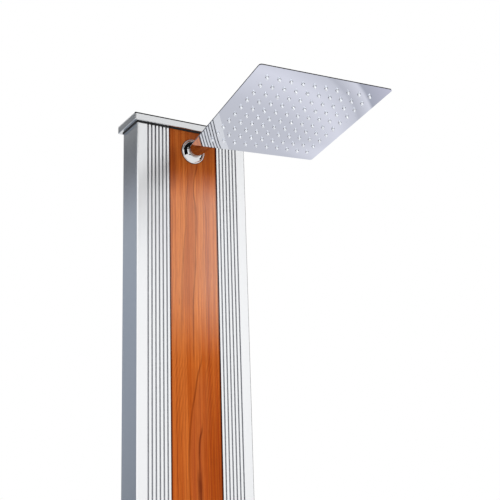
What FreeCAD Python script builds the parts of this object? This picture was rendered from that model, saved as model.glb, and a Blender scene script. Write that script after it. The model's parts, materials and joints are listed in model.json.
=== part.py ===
import FreeCAD, Part
import operator
import os
from types import SimpleNamespace

import Sketcher
from FreeCAD import Placement, Rotation, Vector

# A solar shower: a slim aluminium column that holds the water tank, with a ribbed front, a wooden
# front panel, a chromed arm and a thin square rain head on a ball joint.
# Millimetres and degrees. +X is the user's right, -Y is the front, +Z is up, and the origin is on
# the floor under the middle of the column.

SIZES = {
    # Column extrusion and its front
    "total_height": 2200,
    "col_width": 198,
    "col_depth": 60,
    "col_wall": 2,
    "col_corner": 2.2,
    "groove_count": 6,
    "groove_pitch": 6.35,
    "groove_first": 48.8,
    "groove_width": 2.2,
    "groove_depth": 4.5,
    "rib_round": 0.4,
    "floor_wall": 2,
    "panel_width": 85,
    "panel_gap": 1.4,
    "panel_thick": 6,
    "panel_sunk": 0.8,
    "tape_thick": 1.2,
    "tape_width": 12,
    "tape_offset": 33,
    # Cap on the column
    "cap_overhang": 6.8,
    "cap_height": 12.4,
    "cap_top": 3,
    "cap_corner": 2,
    "cap_edge": 1,
    "gasket_thick": 1.7,
    "gasket_rim": 0.8,
    "spigot_depth": 14,
    "spigot_wall": 3,
    "spigot_clear": 0.4,
    "cap_screw_offset": 60,
    "cap_screw_drop": 7,
    # Base plate and the socket that holds the column
    "base_width": 300,
    "base_depth": 240,
    "base_thick": 8,
    "base_corner": 15,
    "anchor_span_x": 250,
    "anchor_span_y": 190,
    "anchor_hole": 5.5,
    "socket_height": 90,
    "socket_wall": 4,
    "socket_clear": 0.4,
    "socket_screw_low": 25,
    "socket_screw_high": 70,
    # Screws, as radius of the shank, radius of the head and height of the head
    "big_shank": 2.9,
    "big_head": 5.5,
    "big_rise": 3,
    "small_shank": 1.9,
    "small_head": 3.6,
    "small_rise": 2.2,
    "screw_clear": 0.2,
    # Bulkheads that close the tank
    "bulkhead_thick": 10,
    "bulkhead_clear": 0.3,
    "seal_thick": 3,
    "bay_height": 182,
    "top_bay": 100,
    "bulkhead_screw_offset": 60,
    "bulkhead_screw_bite": 12,
    # Drain at the back of the tank
    "drain_rise": 30,
    "drain_offset": 50,
    "drain_shank": 8,
    "drain_clear": 0.3,
    "bush_radius": 13,
    "bush_length": 10,
    "plug_head": 12,
    "plug_rise": 5,
    "plug_seal": 1.5,
    # Pipes and their sockets
    "pipe_radius": 7,
    "pipe_wall": 1,
    "pipe_clear": 0.2,
    "pipe_seat": 16,
    "pipe_forward": 2,
    "fitting_wall": 4,
    "gland_radius": 14,
    "gland_height": 9,
    # Hose inlet at the back
    "inlet_height": 140,
    "inlet_thread": 10.2,
    "thread_clear": 0.25,
    "inlet_flange": 16,
    "inlet_flange_thick": 5,
    "inlet_gasket_thick": 1.5,
    "inlet_nut_thick": 6,
    "inlet_tail": 18,
    "inlet_bore": 5,
    "elbow_rise": 32,
    "hose_collar": 9,
    "hose_collar_length": 6,
    "hose_groove": 6.6,
    "hose_groove_length": 4,
    "hose_nose": 8,
    "hose_nose_length": 14,
    # Feed into the tank
    "feed_rise": 22,
    "feed_height": 40,
    "feed_branch": 10,
    "feed_reach": 30,
    "feed_bore": 4,
    "valve_radius": 9,
    "valve_length": 30,
    # Mixer
    "mixer_height": 1050,
    "mixer_neck": 17,
    "mixer_block": 24,
    "mixer_block_length": 32,
    "mixer_reach": 36,
    "mixer_gasket_thick": 2,
    "mixer_nut": 23,
    "mixer_nut_thick": 5,
    "plate_radius": 36,
    "plate_rise": 6,
    "plate_edge": 2,
    "plate_flat": 24,
    "neck_clear": 0.3,
    "pivot_forward": 19,
    "neck_behind_pivot": 2,
    "cartridge_radius": 14.5,
    "cartridge_length": 32,
    "cartridge_nut_thick": 4,
    "bonnet_radius": 24,
    "bonnet_front": 10,
    "turret_radius": 8.8,
    "turret_clear": 0.1,
    "turret_seat": 6,
    "turret_front": 6,
    "slot_behind_pivot": 4.5,
    "pin_radius": 1.5,
    "pin_length": 16,
    "pin_clear": 0.05,
    "spindle_width": 8,
    "spindle_half": 3.8,
    "spindle_front": 18,
    "spindle_clear": 0.15,
    "lever_gap": 0.6,
    "lever_shell": 2.8,
    "boss_radius": 8,
    "boss_back": 12,
    "lever_width": 14,
    "lever_root_back": 15,
    "lever_root_front": 24,
    "lever_root_drop": 8,
    "lever_tip_back": 24,
    "lever_tip_front": 31,
    "lever_tip_drop": 94,
    "lever_round": 2.5,
    "handle_seat": 21.5,
    "handle_screw_length": 11,
    "button_radius": 4.2,
    "button_gap": 0.4,
    # Hot water line
    "hot_offset": 58,
    "hot_top_gap": 12,
    # Shower arm
    "arm_drop": 48,
    "arm_reach": 273.6,
    "arm_radius": 12,
    "arm_wall": 1.6,
    "arm_clear": 0.2,
    "arm_start": 1,
    "flange_radius": 20.7,
    "flange_lip": 2.6,
    "flange_edge": 1.6,
    "flange_seat": 3.5,
    "flange_cone": 4.6,
    "flange_rise": 8.2,
    "flange_wall": 1.5,
    "arm_shoulder": 15,
    "arm_gasket_thick": 2,
    "arm_nut_thick": 6,
    "arm_spigot": 14,
    "nut_room": 1,
    # End block of the arm and the ball stud
    "ball_drop": 25,
    "block_radius": 15,
    "block_half": 12.5,
    "block_edge": 2,
    "block_grip": 6,
    "stud_thread": 7,
    "stud_length": 9,
    "stud_washer_thick": 1.5,
    "stud_collar": 8.2,
    "collar_rise": 1.5,
    "stud_neck": 4.2,
    "stud_bore": 2.6,
    "ball_radius": 8.5,
    # Ball joint inside the head
    "seat_clear": 0.2,
    "lower_ring": 1.6,
    "lower_ring_from": 8.2,
    "lower_ring_to": 3.2,
    "upper_ring": 1.4,
    "upper_ring_from": 1.5,
    "upper_ring_to": 5.2,
    "ring_clear": 0.3,
    "hub_radius": 12.6,
    "hub_top": 0.8,
    "hub_flange": 20,
    "hub_flange_thick": 2,
    "hub_bore": 4,
    "nut_radius": 16,
    "nut_top": 6.5,
    "nut_chamfer": 3,
    "nut_skirt": 6,
    # Rain head
    "head_tilt": -9.15,
    "head_roll": -1.4,
    "head_spin": -2.9,
    "head_drop": 20,
    "head_side": 197,
    "head_corner": 3.5,
    "sheet_thick": 0.7,
    "mat_side": 164,
    "mat_thick": 1.5,
    "water_gap": 2,
    "pan_side": 174,
    "pan_slope": 8,
    "nozzle_count": 10,
    "nozzle_pitch": 17.1,
    "nozzle_root": 1.7,
    "nozzle_tip": 1.3,
    "nozzle_rise": 3.3,
    "nozzle_bore": 0.5,
    "nozzle_clear": 0.15,
}

# Numbers by which a sketch knows its origin and the points of a line or circle
ORIGIN_INDEX = -1
START_INDEX = 1
END_INDEX = 2
CENTRE_INDEX = 3
TINY = 1e-4
DRILL_LEAD = 1
# A step of a pattern that takes the pattern's own spacing
EVEN_STEP = -1
SIGNS = {"+": operator.add, "-": operator.sub, "*": operator.mul, "/": operator.truediv}


class Size:
    """A size with its number and the sheet formula that gives it."""

    def __init__(self, value, formula):
        self.value = value
        self.formula = formula

    def joined(self, sign, other):
        other = as_size(other)
        return Size(SIGNS[sign](self.value, other.value), f"({self.formula} {sign} {other.formula})")

    def __add__(self, other):
        return self.joined("+", other)

    def __sub__(self, other):
        return self.joined("-", other)

    def __mul__(self, other):
        return self.joined("*", other)

    def __truediv__(self, other):
        return self.joined("/", other)

    def __neg__(self):
        return as_size(0) - self


def as_size(number):
    """A plain number as a Size, and a Size as it is."""
    if isinstance(number, Size):
        return number
    return Size(float(number), f"({number})")


doc = FreeCAD.newDocument("solar_shower")
sheet = doc.addObject("Spreadsheet::Sheet", "Sizes")
for row, (name, number) in enumerate(SIZES.items(), start=1):
    sheet.set(f"A{row}", name)
    sheet.set(f"B{row}", str(number))
    sheet.setAlias(f"B{row}", name)
doc.recompute()
dim = SimpleNamespace(**{name: Size(float(getattr(sheet, name)), f"Sizes.{name}") for name in SIZES})

# Places that several pieces share
front_y = -dim.col_depth / 2
back_y = dim.col_depth / 2
panel_front_y = front_y + dim.panel_sunk
recess_y = panel_front_y + dim.panel_thick + dim.tape_thick
inner_y = recess_y + dim.floor_wall
rib_inner_y = front_y + dim.groove_depth + dim.floor_wall
rear_inner_y = back_y - dim.col_wall
recess_half = dim.panel_width / 2 + dim.panel_gap
pipe_y = -dim.pipe_forward
column_bottom = dim.base_thick
column_top = dim.total_height - dim.cap_height - dim.gasket_thick
cap_under = dim.total_height - dim.cap_height
bottom_bulkhead_z = column_bottom + dim.bay_height
tank_floor_z = bottom_bulkhead_z + dim.bulkhead_thick + dim.seal_thick
top_bulkhead_z = column_top - dim.top_bay - dim.bulkhead_thick
tank_roof_z = top_bulkhead_z - dim.seal_thick
pipe_hole = dim.pipe_radius + dim.pipe_clear
pipe_bore = dim.pipe_radius - dim.pipe_wall
fitting_radius = pipe_hole + dim.fitting_wall
arm_z = dim.total_height - dim.arm_drop
arm_bore = dim.arm_radius - dim.arm_wall
spigot_radius = arm_bore - dim.arm_clear
ball_y = front_y - dim.arm_reach
ball_z = arm_z - dim.ball_drop
pivot_y = panel_front_y - dim.pivot_forward

# Where a piece's own +Z points, as a turn and as a direction
TURNS = {
    "up": Rotation(),
    "down": Rotation(Vector(1, 0, 0), 180),
    "front": Rotation(Vector(1, 0, 0), 90),
    "back": Rotation(Vector(1, 0, 0), -90),
    "right": Rotation(Vector(0, 1, 0), 90),
    "left": Rotation(Vector(0, 1, 0), -90),
}
DIRECTIONS = {
    "up": (0, 0, 1),
    "down": (0, 0, -1),
    "front": (0, -1, 0),
    "back": (0, 1, 0),
    "right": (1, 0, 0),
    "left": (-1, 0, 0),
}

finished = {}
column_cuts = []
panel_cuts = []


def bind(thing, **sizes):
    """Tie properties of a document object to the sheet."""
    for name, size in sizes.items():
        thing.setExpression(name, as_size(size).formula)
    return thing


def place(thing, x=0, y=0, z=0, facing="up"):
    """Put a piece's own origin at a point, with its +Z turned to a side."""
    thing.Placement = Placement(Vector(), TURNS[facing])
    for axis, size in zip("xyz", (x, y, z)):
        thing.setExpression(f"Placement.Base.{axis}", as_size(size).formula)
    return thing


def node(label, thing):
    """Name a finished sub-part."""
    thing.Label = label
    finished[label] = thing
    return thing


def new_sketch(body, role, offset=0):
    """An empty sketch on one of the body's own planes, moved along the plane's normal."""
    sketch = body.newObject("Sketcher::SketchObject", "outline")
    plane = next(item for item in body.Origin.OriginFeatures if item.Role == role)
    sketch.AttachmentSupport = [(plane, "")]
    sketch.MapMode = "FlatFace"
    sketch.setExpression("AttachmentOffset.Base.z", as_size(offset).formula)
    return sketch


def pin_point(sketch, geometry, vertex, x, y):
    """Hold a point of a sketch at a place that the sheet gives."""
    for kind, size in (("DistanceX", as_size(x)), ("DistanceY", as_size(y))):
        held = Sketcher.Constraint(kind, ORIGIN_INDEX, START_INDEX, geometry, vertex, size.value)
        index = sketch.addConstraint(held)
        sketch.setExpression(f"Constraints[{index}]", size.formula)


def draw_loop(sketch, points):
    """A closed outline of straight lines."""
    points = [(as_size(x), as_size(y)) for x, y in points]
    corners = [Vector(x.value, y.value, 0) for x, y in points]
    following = corners[1:] + corners[:1]
    lines = [sketch.addGeometry(Part.LineSegment(a, b), False) for a, b in zip(corners, following)]
    for line, after in zip(lines, lines[1:] + lines[:1]):
        sketch.addConstraint(Sketcher.Constraint("Coincident", line, END_INDEX, after, START_INDEX))
    for line, (x, y) in zip(lines, points):
        pin_point(sketch, line, START_INDEX, x, y)


def draw_circle(sketch, x, y, radius):
    """A circle held at its centre and radius."""
    centre = Vector(as_size(x).value, as_size(y).value, 0)
    circle = sketch.addGeometry(Part.Circle(centre, Vector(0, 0, 1), radius.value), False)
    index = sketch.addConstraint(Sketcher.Constraint("Radius", circle, radius.value))
    sketch.setExpression(f"Constraints[{index}]", radius.formula)
    pin_point(sketch, circle, CENTRE_INDEX, x, y)


def rectangle(width, depth, x=0, y=0):
    """Corners of a rectangle about a point."""
    half_x = width / 2
    half_y = depth / 2
    x = as_size(x)
    y = as_size(y)
    return [
        (x - half_x, y - half_y), (x + half_x, y - half_y),
        (x + half_x, y + half_y), (x - half_x, y + half_y),
    ]


def prism(loops, bottom, height):
    """A body with its outline in plan, from one height up."""
    body = doc.addObject("PartDesign::Body", "prism")
    sketch = new_sketch(body, "XY_Plane", bottom)
    for loop in loops:
        draw_loop(sketch, loop)
    pad = body.newObject("PartDesign::Pad", "rise")
    pad.Profile = sketch
    bind(pad, Length=height)
    return body


def pocket_through(body, loops, bottom):
    """Cut outlines right through a body, from its underside upwards."""
    sketch = new_sketch(body, "XY_Plane", bottom)
    for loop in loops:
        draw_loop(sketch, loop)
    pocket = body.newObject("PartDesign::Pocket", "opening")
    pocket.Profile = sketch
    pocket.Type = "ThroughAll"
    pocket.Reversed = True
    return pocket


def turned(profile):
    """A body turned about its own Z axis, from points given as radius and height."""
    body = doc.addObject("PartDesign::Body", "turned")
    sketch = new_sketch(body, "XZ_Plane")
    draw_loop(sketch, profile)
    turn = body.newObject("PartDesign::Revolution", "turn")
    turn.Profile = sketch
    turn.ReferenceAxis = (sketch, ["V_Axis"])
    return body


def ring(outer, inner, height):
    """A turned ring that stands on its own origin."""
    return turned([(inner, 0), (outer, 0), (outer, height), (inner, height)])


def cylinder(radius, length, x=0, y=0, z=0, facing="up"):
    """A plain rod from a point towards a side."""
    rod = doc.addObject("Part::Cylinder", "rod")
    bind(rod, Radius=radius, Height=length)
    return place(rod, x, y, z, facing)


def sphere(radius, x=0, y=0, z=0):
    """A plain ball about a point."""
    globe = doc.addObject("Part::Sphere", "globe")
    bind(globe, Radius=radius)
    return place(globe, x, y, z)


def block(width, depth, height, x=0, y=0, z=0):
    """A plain block whose underside is centred on a point."""
    solid = doc.addObject("Part::Box", "block")
    bind(solid, Length=width, Width=depth, Height=height)
    return place(solid, as_size(x) - width / 2, as_size(y) - depth / 2, z)


def drill(radius, depth, x, y, z, facing):
    """A drilled hole that starts just outside a face and goes in against the side it faces."""
    shift = [as_size(depth) * step for step in DIRECTIONS[facing]]
    start = [as_size(at) - move for at, move in zip((x, y, z), shift)]
    return cylinder(radius, as_size(depth) + DRILL_LEAD, *start, facing)


def fused(*things):
    """Several solids joined into one."""
    result = doc.addObject("Part::MultiFuse", "joined")
    result.Shapes = list(things)
    return result


def cut(base, *tools):
    """A solid with others taken out of it."""
    result = doc.addObject("Part::Cut", "cut")
    result.Base = base
    result.Tool = tools[0] if len(tools) == 1 else fused(*tools)
    return result


def common(base, tool):
    """What two solids share."""
    result = doc.addObject("Part::Common", "shared")
    result.Base = base
    result.Tool = tool
    return result


def grouped(things):
    """Separate solids kept as one sub-part."""
    result = doc.addObject("Part::Compound", "group")
    result.Links = list(things)
    return result


def round_edges(body, radius, chosen):
    """Round those edges of a body that a test picks."""
    doc.recompute()
    base = body.Tip
    names = [f"Edge{i}" for i, edge in enumerate(base.Shape.Edges, start=1) if chosen(edge)]
    fillet = body.newObject("PartDesign::Fillet", "rounding")
    fillet.Base = (base, names)
    bind(fillet, Radius=radius)


def upright(edge):
    """Whether an edge runs straight up."""
    box = edge.BoundBox
    return box.XLength < TINY and box.YLength < TINY


def level_at(height):
    """A test for edges that lie at one height."""
    def chosen(edge):
        box = edge.BoundBox
        return abs(box.ZMin - height.value) < TINY and abs(box.ZMax - height.value) < TINY
    return chosen


def chamber_outline(inset):
    """The hollow of the column in plan, drawn in by a clearance all round."""
    side = dim.col_width / 2 - dim.col_wall - inset
    step = recess_half + dim.floor_wall + inset
    rear = rear_inner_y - inset
    beside = rib_inner_y + inset
    middle = inner_y + inset
    return [
        (-side, beside), (-step, beside), (-step, middle), (step, middle),
        (step, beside), (side, beside), (side, rear), (-side, rear),
    ]


def screw(kind, length, x, y, z, facing):
    """A pan head screw whose head seats at a point and faces a side."""
    shank = getattr(dim, f"{kind}_shank")
    head = getattr(dim, f"{kind}_head")
    rise = getattr(dim, f"{kind}_rise")
    profile = [(0, -length), (shank, -length), (shank, 0), (head, 0), (head, rise), (0, rise)]
    return place(turned(profile), x, y, z, facing)


def make_base():
    """Base plate with its anchor holes, and the socket that the column slides onto."""
    plate = prism([rectangle(dim.base_width, dim.base_depth)], as_size(0), dim.base_thick)
    round_edges(plate, dim.base_corner, upright)
    holes = [
        cylinder(dim.anchor_hole, dim.base_thick, dim.anchor_span_x / 2 * side, dim.anchor_span_y / 2 * end)
        for side in (-1, 1) for end in (-1, 1)
    ]
    node("base_plate", cut(plate, *holes))

    inset = dim.socket_clear
    loops = [chamber_outline(inset), chamber_outline(inset + dim.socket_wall)]
    socket = prism(loops, column_bottom, dim.socket_height)
    depth = dim.col_wall + dim.socket_clear + dim.socket_wall
    screws = []
    holes = []
    for side, facing in ((-1, "left"), (1, "right")):
        for height in (dim.socket_screw_low, dim.socket_screw_high):
            seat = (dim.col_width / 2 * side, as_size(0), column_bottom + height)
            screws.append(screw("big", depth, *seat, facing))
            holes.append(drill(dim.big_shank + dim.screw_clear, depth + DRILL_LEAD, *seat, facing))
    column_cuts.extend(holes)
    node("base_socket", cut(socket, *holes))
    node("socket_screws", grouped(screws))


def make_cap():
    """Flat cap with its rounded rim and spigot, the black gasket under it and two screws at the back."""
    outline = rectangle(dim.col_width + dim.cap_overhang * 2, dim.col_depth + dim.cap_overhang * 2)
    slab = prism([outline], cap_under, dim.cap_height)
    round_edges(slab, dim.cap_corner, upright)
    doc.recompute()
    under = level_at(cap_under)
    over = level_at(dim.total_height)
    round_edges(slab, dim.cap_edge, lambda edge: under(edge) or over(edge))
    inside = chamber_outline(dim.spigot_clear + dim.spigot_wall)
    hollow = prism([inside], cap_under, dim.cap_height - dim.cap_top)
    spigot_bottom = column_top - dim.spigot_depth
    spigot_rise = cap_under + dim.cap_top - spigot_bottom
    spigot = prism([chamber_outline(dim.spigot_clear), inside], spigot_bottom, spigot_rise)
    depth = dim.col_wall + dim.spigot_clear + dim.spigot_wall
    seats = [(dim.cap_screw_offset * side, back_y, column_top - dim.cap_screw_drop) for side in (-1, 1)]
    holes = [drill(dim.small_shank + dim.screw_clear, depth + DRILL_LEAD, *seat, "back") for seat in seats]
    column_cuts.extend(holes)
    node("top_cap", cut(fused(cut(slab, hollow), spigot), *holes))
    node("cap_screws", grouped([screw("small", depth, *seat, "back") for seat in seats]))

    width = dim.col_width + dim.gasket_rim * 2
    depth = dim.col_depth + dim.gasket_rim * 2
    gasket = prism([rectangle(width, depth), chamber_outline(as_size(0))], column_top, dim.gasket_thick)
    node("cap_gasket", gasket)


def make_bulkhead(label, bottom, seal_label, seal_bottom):
    """One bulkhead across the column with its flat seal, and holes for the pipe and the screws."""
    depth = dim.col_wall + dim.bulkhead_clear + dim.bulkhead_screw_bite
    middle = bottom + dim.bulkhead_thick / 2
    seats = [(dim.bulkhead_screw_offset * side, back_y, middle) for side in (-1, 1)]
    holes = [drill(dim.small_shank + dim.screw_clear, depth + DRILL_LEAD, *seat, "back") for seat in seats]
    column_cuts.extend(holes)
    outline = chamber_outline(dim.bulkhead_clear)
    passage = cylinder(pipe_hole, dim.bulkhead_thick, 0, pipe_y, bottom)
    node(label, cut(prism([outline], bottom, dim.bulkhead_thick), passage, *holes))
    passage = cylinder(pipe_hole, dim.seal_thick, 0, pipe_y, seal_bottom)
    node(seal_label, cut(prism([outline], seal_bottom, dim.seal_thick), passage))
    return [screw("small", depth, *seat, "back") for seat in seats]


def make_bulkheads():
    """The two bulkheads that close the tank, their screws and the glands on the pipes."""
    screws = make_bulkhead("bottom_bulkhead", bottom_bulkhead_z, "bottom_seal",
                           bottom_bulkhead_z + dim.bulkhead_thick)
    screws += make_bulkhead("top_bulkhead", top_bulkhead_z, "top_seal", tank_roof_z)
    node("bulkhead_screws", grouped(screws))
    gland = ring(dim.gland_radius, pipe_hole, dim.gland_height)
    node("bottom_gland", place(gland, 0, pipe_y, bottom_bulkhead_z - dim.gland_height))
    gland = ring(dim.gland_radius, pipe_hole, dim.gland_height)
    node("top_gland", place(gland, 0, pipe_y, top_bulkhead_z + dim.bulkhead_thick))


def make_drain():
    """Drain plug with its washer at the back, in a bush fixed inside the wall."""
    place_z = tank_floor_z + dim.drain_rise
    hole = dim.drain_shank + dim.drain_clear
    column_cuts.append(drill(hole, dim.col_wall + DRILL_LEAD, dim.drain_offset, back_y, place_z, "back"))
    bush = ring(dim.bush_radius, hole, dim.bush_length)
    node("drain_bush", place(bush, dim.drain_offset, rear_inner_y, place_z, "front"))
    seal = ring(dim.plug_head, hole, dim.plug_seal)
    node("drain_seal", place(seal, dim.drain_offset, back_y, place_z, "back"))
    length = dim.plug_seal + dim.col_wall + dim.bush_length
    shank = dim.drain_shank
    head = dim.plug_head
    rise = dim.plug_rise
    profile = [(0, -length), (shank, -length), (shank, 0), (head, 0), (head, rise), (0, rise)]
    node("drain_plug", place(turned(profile), dim.drain_offset, back_y + dim.plug_seal, place_z, "back"))


def make_inlet():
    """Hose connector through the back wall, its gasket and nut, and the elbow that turns the water up."""
    hole = dim.inlet_thread + dim.thread_clear
    column_cuts.append(drill(hole, dim.col_wall + DRILL_LEAD, 0, back_y, dim.inlet_height, "back"))
    gasket = ring(dim.inlet_flange, hole, dim.inlet_gasket_thick)
    node("inlet_gasket", place(gasket, 0, back_y, dim.inlet_height, "back"))
    nut = ring(dim.inlet_flange, hole, dim.inlet_nut_thick)
    node("inlet_nut", place(nut, 0, rear_inner_y, dim.inlet_height, "front"))

    tail = dim.inlet_gasket_thick + dim.col_wall + dim.inlet_tail
    collar_at = dim.inlet_flange_thick
    groove_at = collar_at + dim.hose_collar_length
    nose_at = groove_at + dim.hose_groove_length
    end = nose_at + dim.hose_nose_length
    connector = turned([
        (dim.inlet_bore, -tail), (dim.inlet_thread, -tail), (dim.inlet_thread, 0), (dim.inlet_flange, 0),
        (dim.inlet_flange, collar_at), (dim.hose_collar, collar_at), (dim.hose_collar, groove_at),
        (dim.hose_groove, groove_at), (dim.hose_groove, nose_at), (dim.hose_nose, nose_at),
        (dim.hose_nose, end), (dim.inlet_bore, end),
    ])
    node("hose_connector", place(connector, 0, back_y + dim.inlet_gasket_thick, dim.inlet_height, "back"))

    radius = hole + dim.fitting_wall
    mouth_y = rear_inner_y - dim.inlet_nut_thick
    tail_y = rear_inner_y - dim.inlet_tail - dim.thread_clear
    run = mouth_y - pipe_y
    body = fused(
        cylinder(radius, run, 0, pipe_y, dim.inlet_height, "back"),
        sphere(radius, 0, pipe_y, dim.inlet_height),
        cylinder(fitting_radius, dim.elbow_rise, 0, pipe_y, dim.inlet_height),
    )
    seat_z = dim.inlet_height + dim.elbow_rise - dim.pipe_seat
    hollow = [
        cylinder(hole, mouth_y - tail_y, 0, tail_y, dim.inlet_height, "back"),
        cylinder(pipe_bore, run, 0, pipe_y, dim.inlet_height, "back"),
        sphere(pipe_bore, 0, pipe_y, dim.inlet_height),
        cylinder(pipe_bore, dim.elbow_rise, 0, pipe_y, dim.inlet_height),
        cylinder(pipe_hole, dim.pipe_seat, 0, pipe_y, seat_z),
    ]
    node("inlet_elbow", cut(body, *hollow))
    return seat_z


def make_pipes(cold_start):
    """Cold, hot and mixed water pipes inside the column, and the tee that feeds the tank."""
    axis_z = dim.mixer_height
    cold_end = axis_z - dim.mixer_reach + dim.pipe_seat
    tee_z = tank_floor_z + dim.feed_rise
    branch_z = tee_z + dim.feed_height / 2
    side_hole = cylinder(dim.feed_bore, dim.feed_reach, 0, pipe_y, branch_z, "left")
    pipe = place(ring(dim.pipe_radius, pipe_bore, cold_end - cold_start), 0, pipe_y, cold_start)
    node("cold_pipe", cut(pipe, side_hole))
    tee = fused(
        cylinder(fitting_radius, dim.feed_height, 0, pipe_y, tee_z),
        cylinder(dim.feed_branch, dim.feed_reach, 0, pipe_y, branch_z, "left"),
    )
    node("feed_tee", cut(tee, cylinder(pipe_hole, dim.feed_height, 0, pipe_y, tee_z), side_hole))
    valve = ring(dim.valve_radius, dim.feed_bore, dim.valve_length)
    node("check_valve", place(valve, -dim.feed_reach, pipe_y, branch_z, "left"))

    elbow_start = dim.mixer_reach
    seat_z = axis_z + fitting_radius
    run = dim.hot_offset - elbow_start
    body = fused(
        cylinder(pipe_bore, dim.pipe_seat, elbow_start, pipe_y, axis_z, "left"),
        cylinder(fitting_radius, run, elbow_start, pipe_y, axis_z, "right"),
        sphere(fitting_radius, dim.hot_offset, pipe_y, axis_z),
        cylinder(fitting_radius, fitting_radius + dim.pipe_seat, dim.hot_offset, pipe_y, axis_z),
    )
    waterway = pipe_bore - dim.pipe_wall
    hollow = [
        cylinder(waterway, run + dim.pipe_seat, elbow_start - dim.pipe_seat, pipe_y, axis_z, "right"),
        sphere(waterway, dim.hot_offset, pipe_y, axis_z),
        cylinder(waterway, fitting_radius, dim.hot_offset, pipe_y, axis_z),
        cylinder(pipe_hole, dim.pipe_seat, dim.hot_offset, pipe_y, seat_z),
    ]
    node("hot_elbow", cut(body, *hollow))
    hot = ring(dim.pipe_radius, pipe_bore, tank_roof_z - dim.hot_top_gap - seat_z)
    node("hot_pipe", place(hot, dim.hot_offset, pipe_y, seat_z))

    riser_start = axis_z + dim.mixer_reach - dim.pipe_seat
    riser_end = arm_z - fitting_radius
    riser = ring(dim.pipe_radius, pipe_bore, riser_end - riser_start)
    node("riser_pipe", place(riser, 0, pipe_y, riser_start))


def make_mixer_body():
    """Valve block inside the column with its three ports, clamped through the wall and trimmed outside."""
    axis_z = dim.mixer_height
    block_front = inner_y + dim.mixer_gasket_thick
    neck_front = pivot_y + dim.neck_behind_pivot
    bore = dim.cartridge_radius + dim.neck_clear
    cartridge_front = neck_front + dim.cartridge_nut_thick
    cartridge_back = cartridge_front + dim.cartridge_length
    ports = [("up", pipe_hole), ("down", pipe_hole), ("right", pipe_bore + dim.pipe_clear)]
    solids = [
        cylinder(dim.mixer_block, dim.mixer_block_length, 0, block_front, axis_z, "back"),
        cylinder(dim.mixer_neck, block_front - neck_front, 0, block_front, axis_z, "front"),
    ]
    hollow = [cylinder(bore, cartridge_back - neck_front, 0, cartridge_back, axis_z, "front")]
    for facing, hole in ports:
        solids.append(cylinder(fitting_radius, dim.mixer_reach, 0, pipe_y, axis_z, facing))
        seat = [dim.mixer_reach * step for step in DIRECTIONS[facing]]
        hollow.append(drill(hole, dim.pipe_seat, seat[0], pipe_y + seat[1], axis_z + seat[2], facing))
        hollow.append(cylinder(pipe_bore - dim.pipe_wall, dim.mixer_reach, 0, pipe_y, axis_z, facing))
    node("mixer_body", cut(fused(*solids), *hollow))

    hole = dim.mixer_neck + dim.neck_clear
    column_cuts.append(cylinder(hole, dim.floor_wall, 0, inner_y, axis_z, "front"))
    panel_hole = dim.mixer_nut + dim.nut_room
    panel_cuts.append(cylinder(panel_hole, inner_y - panel_front_y, 0, inner_y, axis_z, "front"))
    gasket = ring(dim.mixer_block, hole, dim.mixer_gasket_thick)
    node("mixer_gasket", place(gasket, 0, block_front, axis_z, "front"))
    nut = ring(dim.mixer_nut, hole, dim.mixer_nut_thick)
    node("mixer_nut", place(nut, 0, recess_y, axis_z, "front"))
    plate = turned([
        (hole, 0), (dim.plate_radius, 0), (dim.plate_radius, dim.plate_edge),
        (dim.plate_flat, dim.plate_rise), (hole, dim.plate_rise),
    ])
    node("mixer_plate", place(plate, 0, panel_front_y, axis_z, "front"))

    bonnet_back = panel_front_y - dim.plate_rise
    bonnet_length = bonnet_back - pivot_y + dim.bonnet_front
    zone = cylinder(dim.bonnet_radius, bonnet_length, 0, bonnet_back, axis_z, "front")
    bonnet = common(sphere(dim.bonnet_radius, 0, pivot_y, axis_z), zone)
    node("mixer_bonnet", cut(bonnet, cylinder(hole, bonnet_length, 0, bonnet_back, axis_z, "front")))

    seat_y = cartridge_front + dim.turret_seat
    cartridge = cylinder(dim.cartridge_radius, dim.cartridge_length, 0, cartridge_back, axis_z, "front")
    seat = cylinder(dim.turret_radius + dim.turret_clear, dim.turret_seat, 0, seat_y, axis_z, "front")
    node("cartridge", cut(cartridge, seat))
    nut = ring(dim.cartridge_radius, dim.turret_radius + dim.neck_clear, dim.cartridge_nut_thick)
    node("cartridge_nut", place(nut, 0, cartridge_front, axis_z, "front"))
    return seat_y - dim.turret_clear


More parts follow.
